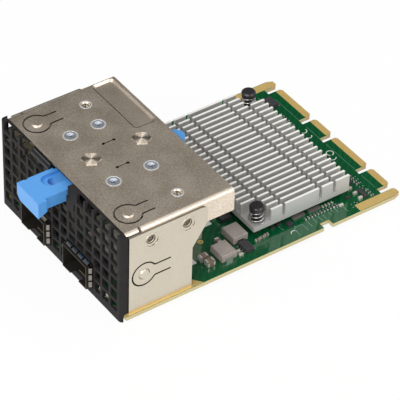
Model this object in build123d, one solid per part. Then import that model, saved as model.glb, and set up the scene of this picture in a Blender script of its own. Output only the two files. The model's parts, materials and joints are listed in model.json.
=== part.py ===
from build123d import *
import os

# Ethernet adapter card for a server's mezzanine bay, in millimetres.
# Origin: the bezel's outer face, on the card's centre line, level with the board's underside.
# +Y runs from the bezel to the contact tongues, +Z is the component side, +X is to the right.

# Circuit board
board_width = 76.0
board_length = 115.4
board_thickness = 1.57
board_front = 1.35
tongue_depth = 5.7
tongue_long = 18.2
tongue_short = 9.8
tongue_gap = 2.5
tongue_chamfer = 0.8
wing_chamfer = 2.4
wing_tip_width = 2.0
notch_length = 3.8
notch_depth = 2.5
notch_start = 82.2
ring_hole_radius = 0.55
ring_width = 0.45
ring_x = 20.8
ring_y = 42.8

# Gold plating
plating_thickness = 0.05
finger_pitch = 0.6
finger_width = 0.42
finger_length = 2.5
finger_setback = 0.15
rail_pad_width = 3.8
front_pad_length = 30.8
front_pad_slant = 3.0
wing_pad_length = 17.4

# Sheet metal
sheet = 0.8
bend_radius = 1.7
cover_inset = 1.8
cover_height = 35.1
cover_front = 2.3
cover_rear = 44.7
flange_drop = 8.9
flange_start = 8.3
flange_chamfer = 0.3
relief_width = 1.0
pocket_inset = 1.4
pocket_length = 27.2
pocket_front = 35.1
pocket_depth_y = 8.5
pocket_drop = 0.7
pocket_lean_share = 1.0
pocket_radius = 1.2

# Spring tongues cut in the sheets
tongue_ring_radius = 4.6
tongue_slot = 0.6
tongue_neck = 4.5
cover_tongue_arm = 9.0
plate_tongue_arm = 10.4
tongue_root_radius = 1.2
dimple_radius = 2.5
dimple_top_radius = 1.6
dimple_height = 0.45
cover_tongue_inset = 8.7
cover_tongue_y = 8.8
plate_tongue_y = 8.8
plate_tongue_z = 16.3

# Tapped holes drawn out of the sheets
tap_radius = 1.25
tap_collar = 0.75
tap_depth = 1.6
tap_mouth = 0.2
tap_lip = 0.85
lip_share = 0.293
plate_dimple_radius = 3.1
cover_tap_inset = 8.9
cover_tap_y = 28.1
tab_height = 4.0
tab_rear = 4.6
tab_centres = (8.5, 24.5)
plate_tap_y = (11.7, 26.0)
plate_tap_z = 29.4
lap_clearance = 0.05

# Side plates
plate_front = 2.9
plate_top = 34.0
plate_rear_high = 33.6
plate_rear_low = 27.8
plate_step_high = 27.2
plate_step_low = 18.4
plate_corner = 2.6
foot_width = 5.6
foot_reach = 7.6
foot_centres = (7.2, 22.6)
corner_relief = 4.4
corner_relief_width = 1.6

# Bezel
bezel_inset = 1.3
bezel_bottom = -1.5
bezel_wall = 1.1
bezel_depth = 2.8
bezel_corner = 1.4
bezel_rim = 0.5
vent_pitch = 5.0
vent_hole = 3.75
vent_corner = 0.55
vent_side_margin = 1.6
vent_first_row = 3.6
vent_sliver_share = 0.14
vent_border = 0.8
vent_margin = 4.4
port_sill = 0.4
led_hole_radius = 0.4
led_hole_z = 1.6
led_spacing = 3.7
led_offset = 9.9
led_length = 1.6
led_depth = 0.8
led_height = 0.7

# Port cages
cage_width = 14.4
cage_height = 9.7
cage_wall = 0.3
cage_front = -2.3
cage_length = 46.6
cage_pitch = 25.9
cage_centre = -0.65
cage_latch_width = 5.0
cage_latch_length = 3.4
cage_vent_radius = 0.8
cage_vent_pitch = 3.4
cage_vents = 8
cage_vent_start = 10.0
cage_window = 1.4
connector_width = 11.2
connector_height = 6.6
connector_length = 11.0
connector_slot_height = 1.3
connector_slot_width = 9.4
connector_slot_depth = 7.5

# Grounding springs round the cages
spring_sheet = 0.15
spring_band = 0.8
spring_front = -1.05
spring_finger = 2.2
spring_bulge = 0.6
spring_gap = 0.7
spring_side_fingers = 3
spring_top_fingers = 4

# Release slide
slide_x = -2.0
slide_top = 32.5
slide_thickness = 4.7
head_width = 11.9
head_front = -11.3
head_length = 3.4
head_thickness = 6.4
head_round = 2.8
neck_inset = 0.75
slide_rear = 39.8
tail_width = 6.6
tail_rear = 50.9
tail_top = 30.2
tail_shoulder = 2.0
grip_radius = 2.9
grip_depth = 1.3
grip_offset = 1.3
grip_y = -1.6
grip_run = 6.0
grip_hole_radius = 1.9
grip_hole_step = 1.4
head_step = 1.2
grip_notch_radius = 0.9
grip_notch_depth = 0.4
slide_travel = 6.0
running_gap = 0.3
lug_length = 3.0

# Slide guide
guide_left = -18.9
guide_right = 14.2
guide_front = 0.9
guide_floor = 1.4
guide_nose_height = 2.8
guide_nose_bottom = 30.6
guide_nose_radius_share = 0.48
guide_lip = 0.8
window_left = -21.2
window_right = 5.2
channel_width = 4.9
channel_front = 8.0

# Guide studs, screws and the return spring
stud_y = (13.8, 33.8)
stud_flats = 6.3
stud_head = 1.1
stud_radius = 1.6
screw_places = ((-16.2, 14.8), (-16.2, 25.9), (11.3, 13.9), (11.3, 28.7))
screw_head_radius = 2.45
screw_rim = 0.15
screw_dish_radius = 1.5
screw_dish_depth = 0.45
screw_head = 1.2
screw_radius = 1.0
screw_length = 5.2
screw_recess = 0.5
screw_recess_width = 2.0
screw_recess_depth = 0.8
seat_clearance = 0.05
slit_length = 4.2
slit_width = 0.35
slit_end_radius = 0.55
slit_places = ((-6.6, 23.7), (6.0, 20.9))
coil_radius = 1.7
coil_wire = 0.4
coil_turns = 8

# Foot screws of the side plates
foot_screw_radius = 1.0
foot_screw_head_radius = 1.7
foot_screw_head = 1.1
foot_screw_length = 3.2

# Heat sink
sink_x = 0.3
sink_y_share = 0.6833
sink_length_share = 0.3492
sink_base = 1.9
sink_height = 6.8
sink_bottom = 4.4
fin_count = 23
fin_pitch = 2.61
fin_thickness = 0.85
cross_cut_width = 1.25
cross_cut_shares = (0.387, 0.682)
pocket_fins = 3
thermal_pad_thickness = 0.5
thermal_pad_side = 20.0
chip_side = 23.0
chip_substrate = 0.7
chip_die_side = 17.0

# Push pins
pin_cap_radius = 2.6
pin_cap_height = 1.9
pin_stem_radius = 1.2
pin_collar_radius = 1.75
pin_collar_height = 1.1
pin_top = 13.0
pin_inset_x = 3.2
pin_inset_y = 3.15
pin_board_radius = 1.3
pin_barb_radius = 1.65
pin_barb_length = 1.6
pin_split = 0.5
pin_wire = 0.5
pin_coil_radius = 2.4
pin_turns = 3

# Parts soldered to the board
inductor_width = 7.0
inductor_length = 6.0
inductor_height = 3.0
inductor_chamfer = 0.25
inductor_lead = 2.6
inductor_lead_thickness = 0.2
inductor_place_shares = ((0.655, 0.468), (0.7974, 0.3951))
chip_lead_width = 0.4
chip_lead_length = 0.9
chip_lead_pitch = 1.27
chip_lead_thickness = 0.2
chip_body_gap = 0.1
chip_lead_count = 4
power_chip_gap = 0.35
power_chip_size = (5.4, 3.2, 1.3)
flash_chip_x_share = -0.697
flash_chip_y_share = 0.9237
flash_chip_size = (5.2, 3.6, 1.4)
under_rows = 6
under_columns = 6
under_pitch = 2.6
overrun = 1.0

# Small parts: size along X, size along Y, height
tiny_along = (0.55, 1.0, 0.4)
tiny_across = (1.0, 0.55, 0.4)
small_along = (0.85, 1.6, 0.8)
small_across = (1.6, 0.85, 0.8)
middle_across = (2.6, 1.7, 1.3)
large_along = (2.5, 3.0, 2.3)
square_chip = (2.1, 2.0, 0.9)
long_chip = (4.4, 1.5, 0.8)
array_body = (1.2, 4.9, 0.9)
low_chip = (3.6, 4.2, 1.4)

# Rows of small parts: kind, count, then start x, start y, step x and step y,
# x as shares of half the board's width and y as shares of its length
tan_row_shares = (
    (middle_across, 1, 0.641, 0.4125, 0, 0),
    (large_along, 1, 0.760, 0.332, 0, 0),
    (large_along, 1, 0.839, 0.336, 0, 0),
    (small_along, 3, 0.814, 0.513, -0.008, 0.018),
    (small_along, 6, -0.700, 0.440, 0.085, 0),
    (small_across, 4, -0.880, 0.560, 0, 0.025),
)
pale_row_shares = (
    (small_along, 1, 0.845, 0.814, 0, 0),
    (tiny_across, 4, 0.763, 0.765, 0, 0.0115),
    (small_along, 2, 0.842, 0.436, 0.046, 0),
    (small_along, 3, 0.700, 0.882, 0.078, 0.0005),
    (small_along, 4, -0.760, 0.886, 0.060, 0),
    (small_along, 2, 0.150, 0.468, 0.090, 0),
)
resistor_row_shares = (
    (tiny_across, 11, 0.816, 0.688, 0, 0.0115),
    (tiny_along, 4, 0.560, 0.918, 0.040, 0),
    (tiny_along, 3, 0.800, 0.922, 0.040, 0),
    (tiny_across, 9, -0.870, 0.690, 0, 0.0125),
    (tiny_along, 8, -0.300, 0.470, 0.040, 0),
    (tiny_along, 6, -0.520, 0.920, 0.040, 0),
)
array_row_shares = (
    (array_body, 2, 0.755, 0.677, 0.004, 0.0565),
    (array_body, 3, -0.860, 0.300, 0, 0.060),
)
chip_row_shares = (
    (square_chip, 1, 0.795, 0.634, 0, 0),
    (small_along, 2, 0.752, 0.583, -0.006, 0.024),
    (small_along, 1, 0.796, 0.852, 0, 0),
    (small_along, 1, 0.640, 0.901, 0, 0),
    (long_chip, 1, 0.816, 0.901, 0, 0),
    (low_chip, 1, 0.400, 0.490, 0, 0),
    (low_chip, 1, -0.560, 0.480, 0, 0),
)

# Worked out from the sizes above
board_half = board_width / 2
board_top = board_thickness
cover_half = board_half - cover_inset
cover_tongue_x = cover_half - cover_tongue_inset
cover_tap_x = cover_half - cover_tap_inset
pocket_left = pocket_inset - cover_half
cover_under = cover_height - sheet
plate_inner = cover_half + lap_clearance
plate_outer = plate_inner + sheet
bezel_half = board_half - bezel_inset
vent_columns = 2 * int((bezel_half - vent_side_margin) / vent_pitch)
vent_rows = 1 + int((cover_height - vent_first_row) / vent_pitch)
cage_centres = (cage_centre - cage_pitch / 2, cage_centre + cage_pitch / 2)
cage_bottom = board_top
cage_top = cage_bottom + cage_height
slot_root = board_length - tongue_depth
tongue_span = 2 * (tongue_long + tongue_short) + 3 * tongue_gap
bezel_inner = plate_inner - running_gap
bezel_rim_rear = cover_front - running_gap / 2
port_half = cage_width / 2 + spring_bulge + running_gap
port_top = cage_top + spring_bulge + running_gap
foot_screw_x = plate_inner - foot_reach / 2 - sheet / 2
head_half_window = head_width / 2 + running_gap
head_sill = slide_top - head_thickness - running_gap
slide_bottom = slide_top - slide_thickness
slide_half = head_width / 2 - neck_inset
guide_floor_top = slide_bottom - running_gap
guide_bottom = guide_floor_top - guide_floor
guide_top = cover_under - seat_clearance
guide_rear = pocket_front - sheet / 2 - running_gap
channel_left = slide_x - slide_half - running_gap - channel_width
lug_rear = guide_rear - sheet - running_gap
sink_y = sink_y_share * board_length
sink_length = sink_length_share * board_length
sink_width = (fin_count - 1) * fin_pitch + fin_thickness
sink_top = sink_bottom + sink_height
sink_base_top = sink_bottom + sink_base
pad_bottom = sink_bottom - thermal_pad_thickness
inductor_places = tuple((x * board_half, y * board_length) for x, y in inductor_place_shares)
power_chip_place = (
    inductor_places[0][0] + inductor_width / 2 + inductor_lead_thickness + power_chip_gap + power_chip_size[0] / 2,
    inductor_places[0][1],
)
flash_chip_place = (flash_chip_x_share * board_half, flash_chip_y_share * board_length)
pin_places = (
    (sink_x + sink_width / 2 - pin_inset_x, sink_y - sink_length / 2 + pin_inset_y),
    (sink_x - sink_width / 2 + pin_inset_x, sink_y + sink_length / 2 - pin_inset_y),
)


def block(x0, x1, y0, y1, z0, z1):
    """A box given by its two corners."""
    return Pos((x0 + x1) / 2, (y0 + y1) / 2, (z0 + z1) / 2) * Box(x1 - x0, y1 - y0, z1 - z0)


def span(xa, xb, y0, y1, z0, z1):
    """A box whose two x limits may come in either order."""
    return block(min(xa, xb), max(xa, xb), y0, y1, z0, z1)


def rect(x0, x1, y0, y1):
    """A flat rectangle given by its two corners, in the sketch's own plane."""
    return Pos((x0 + x1) / 2, (y0 + y1) / 2) * Rectangle(x1 - x0, y1 - y0)


def polygon(points):
    """A flat face with straight sides through the points."""
    return make_face(Polyline(*points, close=True))


def side_view(face, x0, thickness):
    """Stand a face drawn in (y, z) up at x0 and thicken it towards +X."""
    return extrude(Plane.YZ.offset(x0) * face, thickness)


def front_view(face, y0, depth):
    """Stand a face drawn in (x, z) up at y0 and thicken it towards +Y."""
    return extrude(Plane.XZ.offset(-y0) * face, -depth)


def round_bar(radius, x, y, z0, z1):
    """An upright cylinder from z0 to z1."""
    return Pos(x, y, (z0 + z1) / 2) * Cylinder(radius, z1 - z0)


def save(name, shape):
    """Write one node as a STEP file, a group of pieces as separate solids."""
    solids = shape.solids()
    whole = solids[0] if len(solids) == 1 else Compound(children=list(solids))
    export_step(whole, f"parts/{name}.step")


def tongue_ranges():
    """The four contact tongues, each as its first and last x."""
    ranges = []
    x = -tongue_span / 2
    for width in (tongue_long, tongue_short, tongue_long, tongue_short):
        ranges.append((x, x + width))
        x += width + tongue_gap
    return ranges


def board_outline():
    """The board seen from above: body, two wings and four tongues with bevelled corners."""
    wing_inner = tongue_span / 2 + tongue_gap
    face = rect(-board_half, board_half, board_front, slot_root)
    for side in (-1, 1):
        wing = polygon([
            (side * wing_inner, slot_root - overrun),
            (side * wing_inner, board_length - tongue_chamfer),
            (side * (wing_inner + tongue_chamfer), board_length),
            (side * (wing_inner + tongue_chamfer + wing_tip_width), board_length),
            (side * board_half, board_length - wing_chamfer),
            (side * board_half, slot_root - overrun),
        ])
        face += wing
    for x0, x1 in tongue_ranges():
        face += polygon([
            (x0, slot_root - overrun),
            (x0, board_length - tongue_chamfer),
            (x0 + tongue_chamfer, board_length),
            (x1 - tongue_chamfer, board_length),
            (x1, board_length - tongue_chamfer),
            (x1, slot_root - overrun),
        ])
    notch = rect(board_half - notch_depth, board_half + overrun, notch_start, notch_start + notch_length)
    return face - notch


def make_board():
    """The bare board, with the holes that pins and foot screws pass through."""
    face = board_outline()
    face -= Pos(ring_x, ring_y) * Circle(ring_hole_radius)
    for x, y in pin_places:
        face -= Pos(x, y) * Circle(pin_board_radius)
    for side in (-1, 1):
        for y in foot_centres:
            face -= Pos(side * foot_screw_x, y) * Circle(foot_screw_radius + seat_clearance)
    return extrude(face, board_thickness)


def make_fingers():
    """Gold contact fingers on both faces of the tongues."""
    fingers = []
    for x0, x1 in tongue_ranges():
        count = int((x1 - x0 - 2 * tongue_chamfer) / finger_pitch) + 1
        first = (x0 + x1) / 2 - (count - 1) * finger_pitch / 2
        for k in range(count):
            x = first + k * finger_pitch
            y1 = board_length - finger_setback
            for z in (-plating_thickness, board_top):
                fingers.append(block(x - finger_width / 2, x + finger_width / 2, y1 - finger_length, y1,
                                     z, z + plating_thickness))
    return Compound(children=fingers)


def make_edge_plating():
    """Gold strips along the guide edges and the wings, and the ring round the test hole."""
    wing_inner = tongue_span / 2 + tongue_gap + finger_setback
    edge = board_half - finger_setback
    pads = []
    for z in (-plating_thickness, board_top):
        for side in (-1, 1):
            front = [
                (side * (edge - rail_pad_width), board_front + finger_setback),
                (side * (edge - rail_pad_width), board_front + front_pad_length - front_pad_slant),
                (side * edge, board_front + front_pad_length),
                (side * edge, board_front + finger_setback),
            ]
            wing = [
                (side * wing_inner, board_length - wing_pad_length),
                (side * wing_inner, board_length - tongue_chamfer - finger_setback),
                (side * (wing_inner + tongue_chamfer), board_length - finger_setback),
                (side * (wing_inner + tongue_chamfer + wing_tip_width - finger_setback), board_length - finger_setback),
                (side * edge, board_length - wing_chamfer - finger_setback),
                (side * edge, board_length - wing_pad_length),
            ]
            for outline in (front, wing):
                pads.append(Pos(0, 0, z) * extrude(polygon(outline), plating_thickness))
    ring = Circle(ring_hole_radius + ring_width) - Circle(ring_hole_radius)
    pads.append(Pos(ring_x, ring_y, board_top) * extrude(ring, plating_thickness))
    return Compound(children=[pad.solid() for pad in pads])


def keyhole(radius, width, length, corner):
    """A disc with a straight neck that runs from its centre towards +X, rounded where they meet."""
    face = Circle(radius) + rect(0, length, -width / 2, width / 2)
    return fillet([v for v in face.vertices() if v.X < length - radius / 2], corner)


def tongue_cut(arm):
    """The slot that frees a round spring tongue, open where the neck joins the sheet."""
    half = tongue_slot / 2
    outer = keyhole(tongue_ring_radius + half, tongue_neck + tongue_slot, arm, tongue_root_radius - half)
    inner = keyhole(tongue_ring_radius - half, tongue_neck - tongue_slot, arm + overrun, tongue_root_radius + half)
    return outer - inner


def dimple():
    """A pressed dimple, open underneath, standing on z = 0."""
    def cone(shrink, sink):
        return Pos(0, 0, (dimple_height - sink) / 2 - sheet / 2) * Cone(
            dimple_radius - shrink, dimple_top_radius - shrink, dimple_height - sink + sheet)
    return cone(0, 0) - cone(sheet / 2, sheet / 2)


def tap_sleeve():
    """The drawn collar of a tapped hole, from the sheet's face at z = 0 downwards."""
    return Pos(0, 0, -(sheet + tap_depth) / 2) * Cylinder(tap_radius + tap_collar, sheet + tap_depth)


def trumpet(throat, mouth, depth):
    """The rounded-in mouth of a hole, widest at z = 0 and as wide as the throat at the depth."""
    middle = (mouth - (1 - lip_share) * (mouth - throat), -lip_share * depth)
    lip = ThreePointArc((mouth, 0), middle, (throat, -depth))
    foot = Line((throat, -depth), (0, -depth))
    face = make_face([lip, foot, Line((0, -depth), (0, 0)), Line((0, 0), (mouth, 0))])
    return revolve(Plane.XZ * face, Axis.Z)


def tap_bore(lip):
    """The hole through a drawn collar, with its rounded-in mouth at z = 0."""
    bore = Pos(0, 0, -(sheet + tap_depth) / 2) * Cylinder(tap_radius, sheet + tap_depth + 2 * overrun)
    return bore + trumpet(tap_radius, tap_radius + lip, lip)


def cover_section():
    """The cover's folded section: a flat top with a flange at each side."""
    outer = Pos(0, cover_height - flange_drop / 2) * Rectangle(2 * cover_half, flange_drop)
    outer = fillet(outer.vertices().sort_by(Axis.Y)[-2:], bend_radius)
    inner_drop = flange_drop - sheet
    inner = Pos(0, cover_under - inner_drop / 2) * Rectangle(2 * (cover_half - sheet), inner_drop)
    inner = fillet(inner.vertices().sort_by(Axis.Y)[-2:], bend_radius - sheet)
    opening = rect(-cover_half + sheet, cover_half - sheet, cover_height - flange_drop - overrun,
                   cover_height - flange_drop + overrun)
    return outer - (inner + opening)


def pressed(z_low, z_high, grow):
    """A body over the pocket with leaning walls, its outline grown all round by grow at z_low."""
    faces = []
    for z in (z_low, z_high):
        wider = 2 * (grow + (z - z_low) * pocket_lean_share)
        centre = Pos(pocket_left + pocket_length / 2, pocket_front + pocket_depth_y / 2, z)
        faces.append(centre * RectangleRounded(pocket_length + wider, pocket_depth_y + wider, pocket_radius))
    return loft(faces)


def make_cover():
    """The top cover, with pocket, spring tongues, stud and screw seats, tapped holes and slits."""
    cover = front_view(cover_section(), cover_front, cover_rear - cover_front)
    low = cover_height - flange_drop
    sink_in = pocket_drop * pocket_lean_share
    cover += pressed(cover_under - pocket_drop, cover_under + sheet / 2, sheet / 2 - sink_in)
    cover -= pressed(cover_height - pocket_drop, cover_height + overrun, -sink_in)
    for side in (-1, 1):
        outside = side * (cover_half + overrun)
        inside = side * (cover_half - bend_radius)
        edge = side * (cover_half - lap_clearance)
        cover -= span(inside, outside, flange_start - relief_width, flange_start, low - overrun,
                      cover_height + overrun)
        cover -= span(edge, outside, cover_front - overrun, flange_start, low - overrun, cover_height + overrun)
        cover -= span(inside, outside, cover_front - overrun, flange_start, low - overrun, cover_under)
        wedge = polygon([
            (cover_rear + overrun, low - overrun),
            (cover_rear - flange_chamfer - overrun, low - overrun),
            (cover_rear + overrun, low + flange_chamfer + overrun),
        ])
        cover -= side_view(wedge, min(inside, outside), abs(outside - inside))
        for y in plate_tap_y:
            cover = draw_tap(cover, Pos(side * cover_half, y, plate_tap_z) * Rot(0, side * 90, 0), tap_mouth)
        cover = draw_tap(cover, Pos(side * cover_tap_x, cover_tap_y, cover_height), tap_lip)
        place = Pos(side * cover_tongue_x, cover_tongue_y, cover_under - overrun)
        cover -= extrude(place * Rot(0, 0, 90) * tongue_cut(cover_tongue_arm), sheet + 2 * overrun)
        cover -= place * Cylinder(dimple_radius - sheet / 2, overrun + 2 * sheet)
        cover += Pos(side * cover_tongue_x, cover_tongue_y, cover_height) * dimple()
    for y in stud_y:
        hexagon = RegularPolygon(stud_flats / 2 + seat_clearance, 6, major_radius=False)
        cover -= extrude(Pos(slide_x, y, cover_under - overrun) * hexagon, sheet + 2 * overrun)
    for x, y in screw_places:
        cover -= Pos(x, y, cover_height) * screw_seat()
    for x, y in slit_places:
        slit = rect(-slit_width / 2, slit_width / 2, -slit_length / 2, slit_length / 2)
        for end in (-1, 1):
            slit += Pos(0, end * slit_length / 2) * Circle(slit_end_radius)
        cover -= extrude(Pos(x, y, cover_under - overrun) * slit, sheet + 2 * overrun)
    return cover


def draw_tap(body, place, lip):
    """Add one drawn and tapped hole to a sheet body, its mouth rounded in by the lip."""
    return body + place * tap_sleeve() - place * tap_bore(lip)


def screw_seat():
    """The countersunk hole of a flat-head screw, its face at z = 0."""
    cone = Pos(0, 0, -screw_head / 2) * Cone(screw_radius + seat_clearance, screw_head_radius + seat_clearance,
                                             screw_head)
    bore = Pos(0, 0, -(screw_length + running_gap) / 2) * Cylinder(screw_radius + seat_clearance,
                                                                   screw_length + running_gap)
    mouth = Pos(0, 0, overrun / 2) * Cylinder(screw_head_radius + seat_clearance, overrun)
    return cone + bore + mouth


def plate_outline():
    """A side plate drawn in (y, z)."""
    foot = board_top + plating_thickness
    face = polygon([
        (plate_front, foot),
        (plate_front, plate_top),
        (plate_rear_high, plate_top),
        (plate_rear_high, plate_step_high),
        (plate_rear_low, plate_step_low),
        (plate_rear_low, foot),
    ])
    corners = [v for v in face.vertices() if v.Y > plate_top - plate_corner and v.X > plate_front + plate_corner]
    return fillet(corners, plate_corner)


def make_side_plate(side):
    """One side plate: sheet with a spring tongue, two dimpled screw holes, two feet and two tabs."""
    x0 = plate_inner if side > 0 else -plate_outer
    plate = side_view(plate_outline(), x0, sheet)
    foot = board_top + plating_thickness
    joint = side * (plate_inner + sheet / 2)
    for y in foot_centres:
        plate += span(side * (plate_inner - foot_reach), joint, y - foot_width / 2, y + foot_width / 2,
                      foot, foot + sheet)
        plate -= round_bar(foot_screw_radius, side * foot_screw_x, y, foot - overrun, foot + sheet + overrun)
    tab = side * (bezel_inner - seat_clearance)
    for z in tab_centres:
        z0 = z - tab_height / 2
        plate += span(tab - side * sheet, tab, bezel_wall + seat_clearance, tab_rear, z0, z0 + tab_height)
        plate += span(tab - side * sheet, joint, bezel_depth + running_gap, tab_rear, z0, z0 + tab_height)
    if side < 0:
        plate -= block(x0 - overrun, x0 + sheet + overrun, plate_front - overrun,
                       plate_front + corner_relief_width, plate_top - corner_relief, plate_top + overrun)
    face = Pos(side * plate_outer, 0, 0)
    for y in plate_tap_y:
        hole = face * Pos(0, y, plate_tap_z) * Rot(0, side * 90, 0)
        plate -= hole * Pos(0, 0, -sheet / 2) * Cone(tap_radius + tap_mouth, plate_dimple_radius, sheet)
        plate -= hole * Cylinder(tap_radius + tap_mouth, 2 * sheet + overrun)
    cut = Pos(plate_tongue_y, plate_tongue_z) * tongue_cut(plate_tongue_arm)
    plate -= side_view(cut, x0 - overrun, sheet + 2 * overrun)
    turn = face * Pos(0, plate_tongue_y, plate_tongue_z) * Rot(0, side * 90, 0)
    plate -= turn * Pos(0, 0, -sheet) * Cylinder(dimple_radius - sheet / 2, overrun + sheet)
    plate += turn * dimple()
    return plate


def vent_faces():
    """The bezel's vent holes below the top row, trimmed round the cages and the slide's window."""
    holes = Sketch()
    for x in vent_column_centres():
        for row in range(vent_rows - 1):
            z = vent_first_row + row * vent_pitch
            holes += Pos(x, z) * RectangleRounded(vent_hole, vent_hole, vent_corner)
    for x in cage_centres:
        half = port_half + vent_border
        holes -= rect(x - half, x + half, bezel_bottom, port_top + vent_border)
    holes -= rect(window_left - vent_border, window_right + vent_margin, guide_nose_bottom - vent_border,
                  cover_height)
    holes -= rect(slide_x - head_half_window - vent_border, slide_x + head_half_window + vent_margin,
                  head_sill - vent_border, cover_height)
    return [face for face in holes.faces() if face.area > vent_sliver_share * vent_hole * vent_hole]


def vent_column_centres():
    """The x of each column of vent holes."""
    return [(column - (vent_columns - 1) / 2) * vent_pitch for column in range(vent_columns)]


def make_bezel():
    """The vented front bezel: a shallow tray with a grid of square holes, the top row open upwards."""
    outline = rect(-bezel_half, bezel_half, bezel_bottom, cover_height)
    tray = front_view(outline, 0, bezel_depth)
    tray = fillet([e for e in tray.edges().filter_by(Axis.Z) if e.center().Y < bezel_wall], bezel_corner)
    inner = rect(-bezel_inner, bezel_inner, bezel_bottom - overrun, cover_under)
    tray -= front_view(inner, bezel_wall, bezel_depth)
    tray -= block(-cover_half - running_gap, cover_half + running_gap, bezel_rim_rear, bezel_depth + overrun,
                  cover_under - running_gap, cover_height + overrun)
    tray -= block(-bezel_half - overrun, bezel_half + overrun, bezel_wall, bezel_depth + overrun,
                  bezel_bottom - overrun, board_top + plating_thickness)
    for face in vent_faces():
        tray -= front_view(face, -overrun, bezel_depth + overrun)
    top_row = vent_first_row + (vent_rows - 1) * vent_pitch - vent_hole / 2
    for x in vent_column_centres():
        if not window_left - vent_border < x < window_right + vent_margin:
            tray -= block(x - vent_hole / 2, x + vent_hole / 2, -overrun, bezel_rim_rear - bezel_rim,
                          top_row, cover_height + overrun)
    window = rect(window_left, window_right, guide_nose_bottom - running_gap, cover_height + overrun)
    window += rect(slide_x - head_half_window, slide_x + head_half_window, head_sill, cover_height + overrun)
    tray -= front_view(window, -overrun, bezel_depth + 2 * overrun)
    for x in cage_centres:
        port = rect(x - port_half, x + port_half, cage_bottom - port_sill, port_top)
        tray -= front_view(port, -overrun, bezel_depth + 2 * overrun)
    for x in led_places():
        tray -= front_view(Pos(x, led_hole_z) * Circle(led_hole_radius), -overrun, bezel_wall + 2 * overrun)
    return tray


def led_places():
    """The x of the four port lights: a pair on the outer side of each cage."""
    left, right = cage_centres
    near = (led_offset, led_offset + led_spacing)
    return [left - offset for offset in near] + [right + offset for offset in near]


def make_leds():
    """Port lights on the board, each behind its pinhole."""
    lights = []
    for x in led_places():
        lights.append(block(x - led_length / 2, x + led_length / 2, board_front + running_gap,
                            board_front + running_gap + led_depth, board_top, board_top + led_height))
    return Compound(children=lights)


def make_cage(x):
    """One port cage: a folded sheet box, open in front, with a latch slot and vent holes."""
    y1 = cage_front + cage_length
    half = cage_width / 2
    cage = block(x - half, x + half, cage_front, y1, cage_bottom, cage_top)
    cage -= block(x - half + cage_wall, x + half - cage_wall, cage_front - overrun, y1 - cage_wall,
                  cage_bottom + cage_wall, cage_top - cage_wall)
    cage -= block(x - cage_latch_width / 2, x + cage_latch_width / 2, cage_front - overrun,
                  cage_front + cage_latch_length, cage_bottom - overrun, cage_bottom + cage_wall + overrun)
    row = Sketch()
    for k in range(cage_vents):
        for side in (-1, 1):
            row += Pos(x + side * half / 2, cage_vent_start + k * cage_vent_pitch) * RegularPolygon(
                cage_vent_radius, 6)
    cage -= extrude(Pos(0, 0, cage_top - overrun) * row, 2 * overrun)
    rear = y1 - connector_length - cage_window
    cage -= block(x - connector_width / 2 - running_gap, x + connector_width / 2 + running_gap, rear, y1 - cage_wall,
                  cage_bottom - overrun, cage_bottom + cage_wall + overrun)
    return cage


def make_port_connector(x):
    """The host connector that stands in the rear of a cage, with its card slot facing the port."""
    y1 = cage_front + cage_length - cage_wall - running_gap
    y0 = y1 - connector_length
    body = block(x - connector_width / 2, x + connector_width / 2, y0, y1, board_top, board_top + connector_height)
    z = board_top + connector_height / 2
    slot = block(x - connector_slot_width / 2, x + connector_slot_width / 2, y0 - overrun, y0 + connector_slot_depth,
                 z - connector_slot_height / 2, z + connector_slot_height / 2)
    step = block(x - connector_width / 2 - overrun, x + connector_width / 2 + overrun, y0 - overrun,
                 y0 + connector_length / 3, board_top - overrun, z - connector_slot_height)
    return body - slot - step


def bowed_finger(length):
    """A contact finger along +X of its sketch: thin strip bowed out by the bulge."""
    half = length / 2
    outer = ThreePointArc((-half, 0), (0, spring_bulge), (half, 0))
    inner = ThreePointArc((half, -spring_sheet), (0, spring_bulge - spring_sheet), (-half, -spring_sheet))
    return make_face([outer, Line((half, 0), (half, -spring_sheet)), inner,
                      Line((-half, -spring_sheet), (-half, 0))])


def make_grounding_spring(x):
    """The spring collar round a cage: a band behind the bezel with bowed fingers in front of it."""
    half = cage_width / 2
    y0 = spring_front
    y1 = spring_front + spring_finger + spring_band
    def ring(y_low, y_high):
        shell = block(x - half - spring_sheet, x + half + spring_sheet, y_low, y_high,
                      cage_bottom, cage_top + spring_sheet)
        return shell - block(x - half, x + half, y_low - overrun, y_high + overrun, cage_bottom - overrun, cage_top)
    collar = ring(y1 - spring_band, y1) + ring(y0 - spring_gap / 2, y0 + spring_gap / 2)
    middle = (y0 + y1 - spring_band) / 2
    bow = Plane.XY * bowed_finger(spring_finger + spring_gap)
    side_width = (cage_height - spring_gap) / spring_side_fingers - spring_gap
    for side in (-1, 1):
        for k in range(spring_side_fingers):
            z = cage_bottom + spring_gap + k * (side_width + spring_gap)
            strip = extrude(bow, side_width)
            turned = Pos(x + side * (half + spring_sheet), middle, z) * Rot(0, 0, -side * 90) * strip
            collar += turned
    top_width = (cage_width - spring_gap) / spring_top_fingers - spring_gap
    for k in range(spring_top_fingers):
        start = x - half + spring_gap + k * (top_width + spring_gap)
        strip = extrude(bow, top_width)
        collar += Pos(start, middle, cage_top + spring_sheet) * Rot(0, 0, 90) * Rot(90, 0, 0) * strip
    return collar


def long_hole(x, y, run, radius):
    """A hole with round ends that runs from y towards the rear, its end circles' centres a run apart."""
    face = rect(x - radius, x + radius, y, y + run)
    face += Pos(x, y) * Circle(radius)
    return face + Pos(x, y + run) * Circle(radius)


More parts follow.
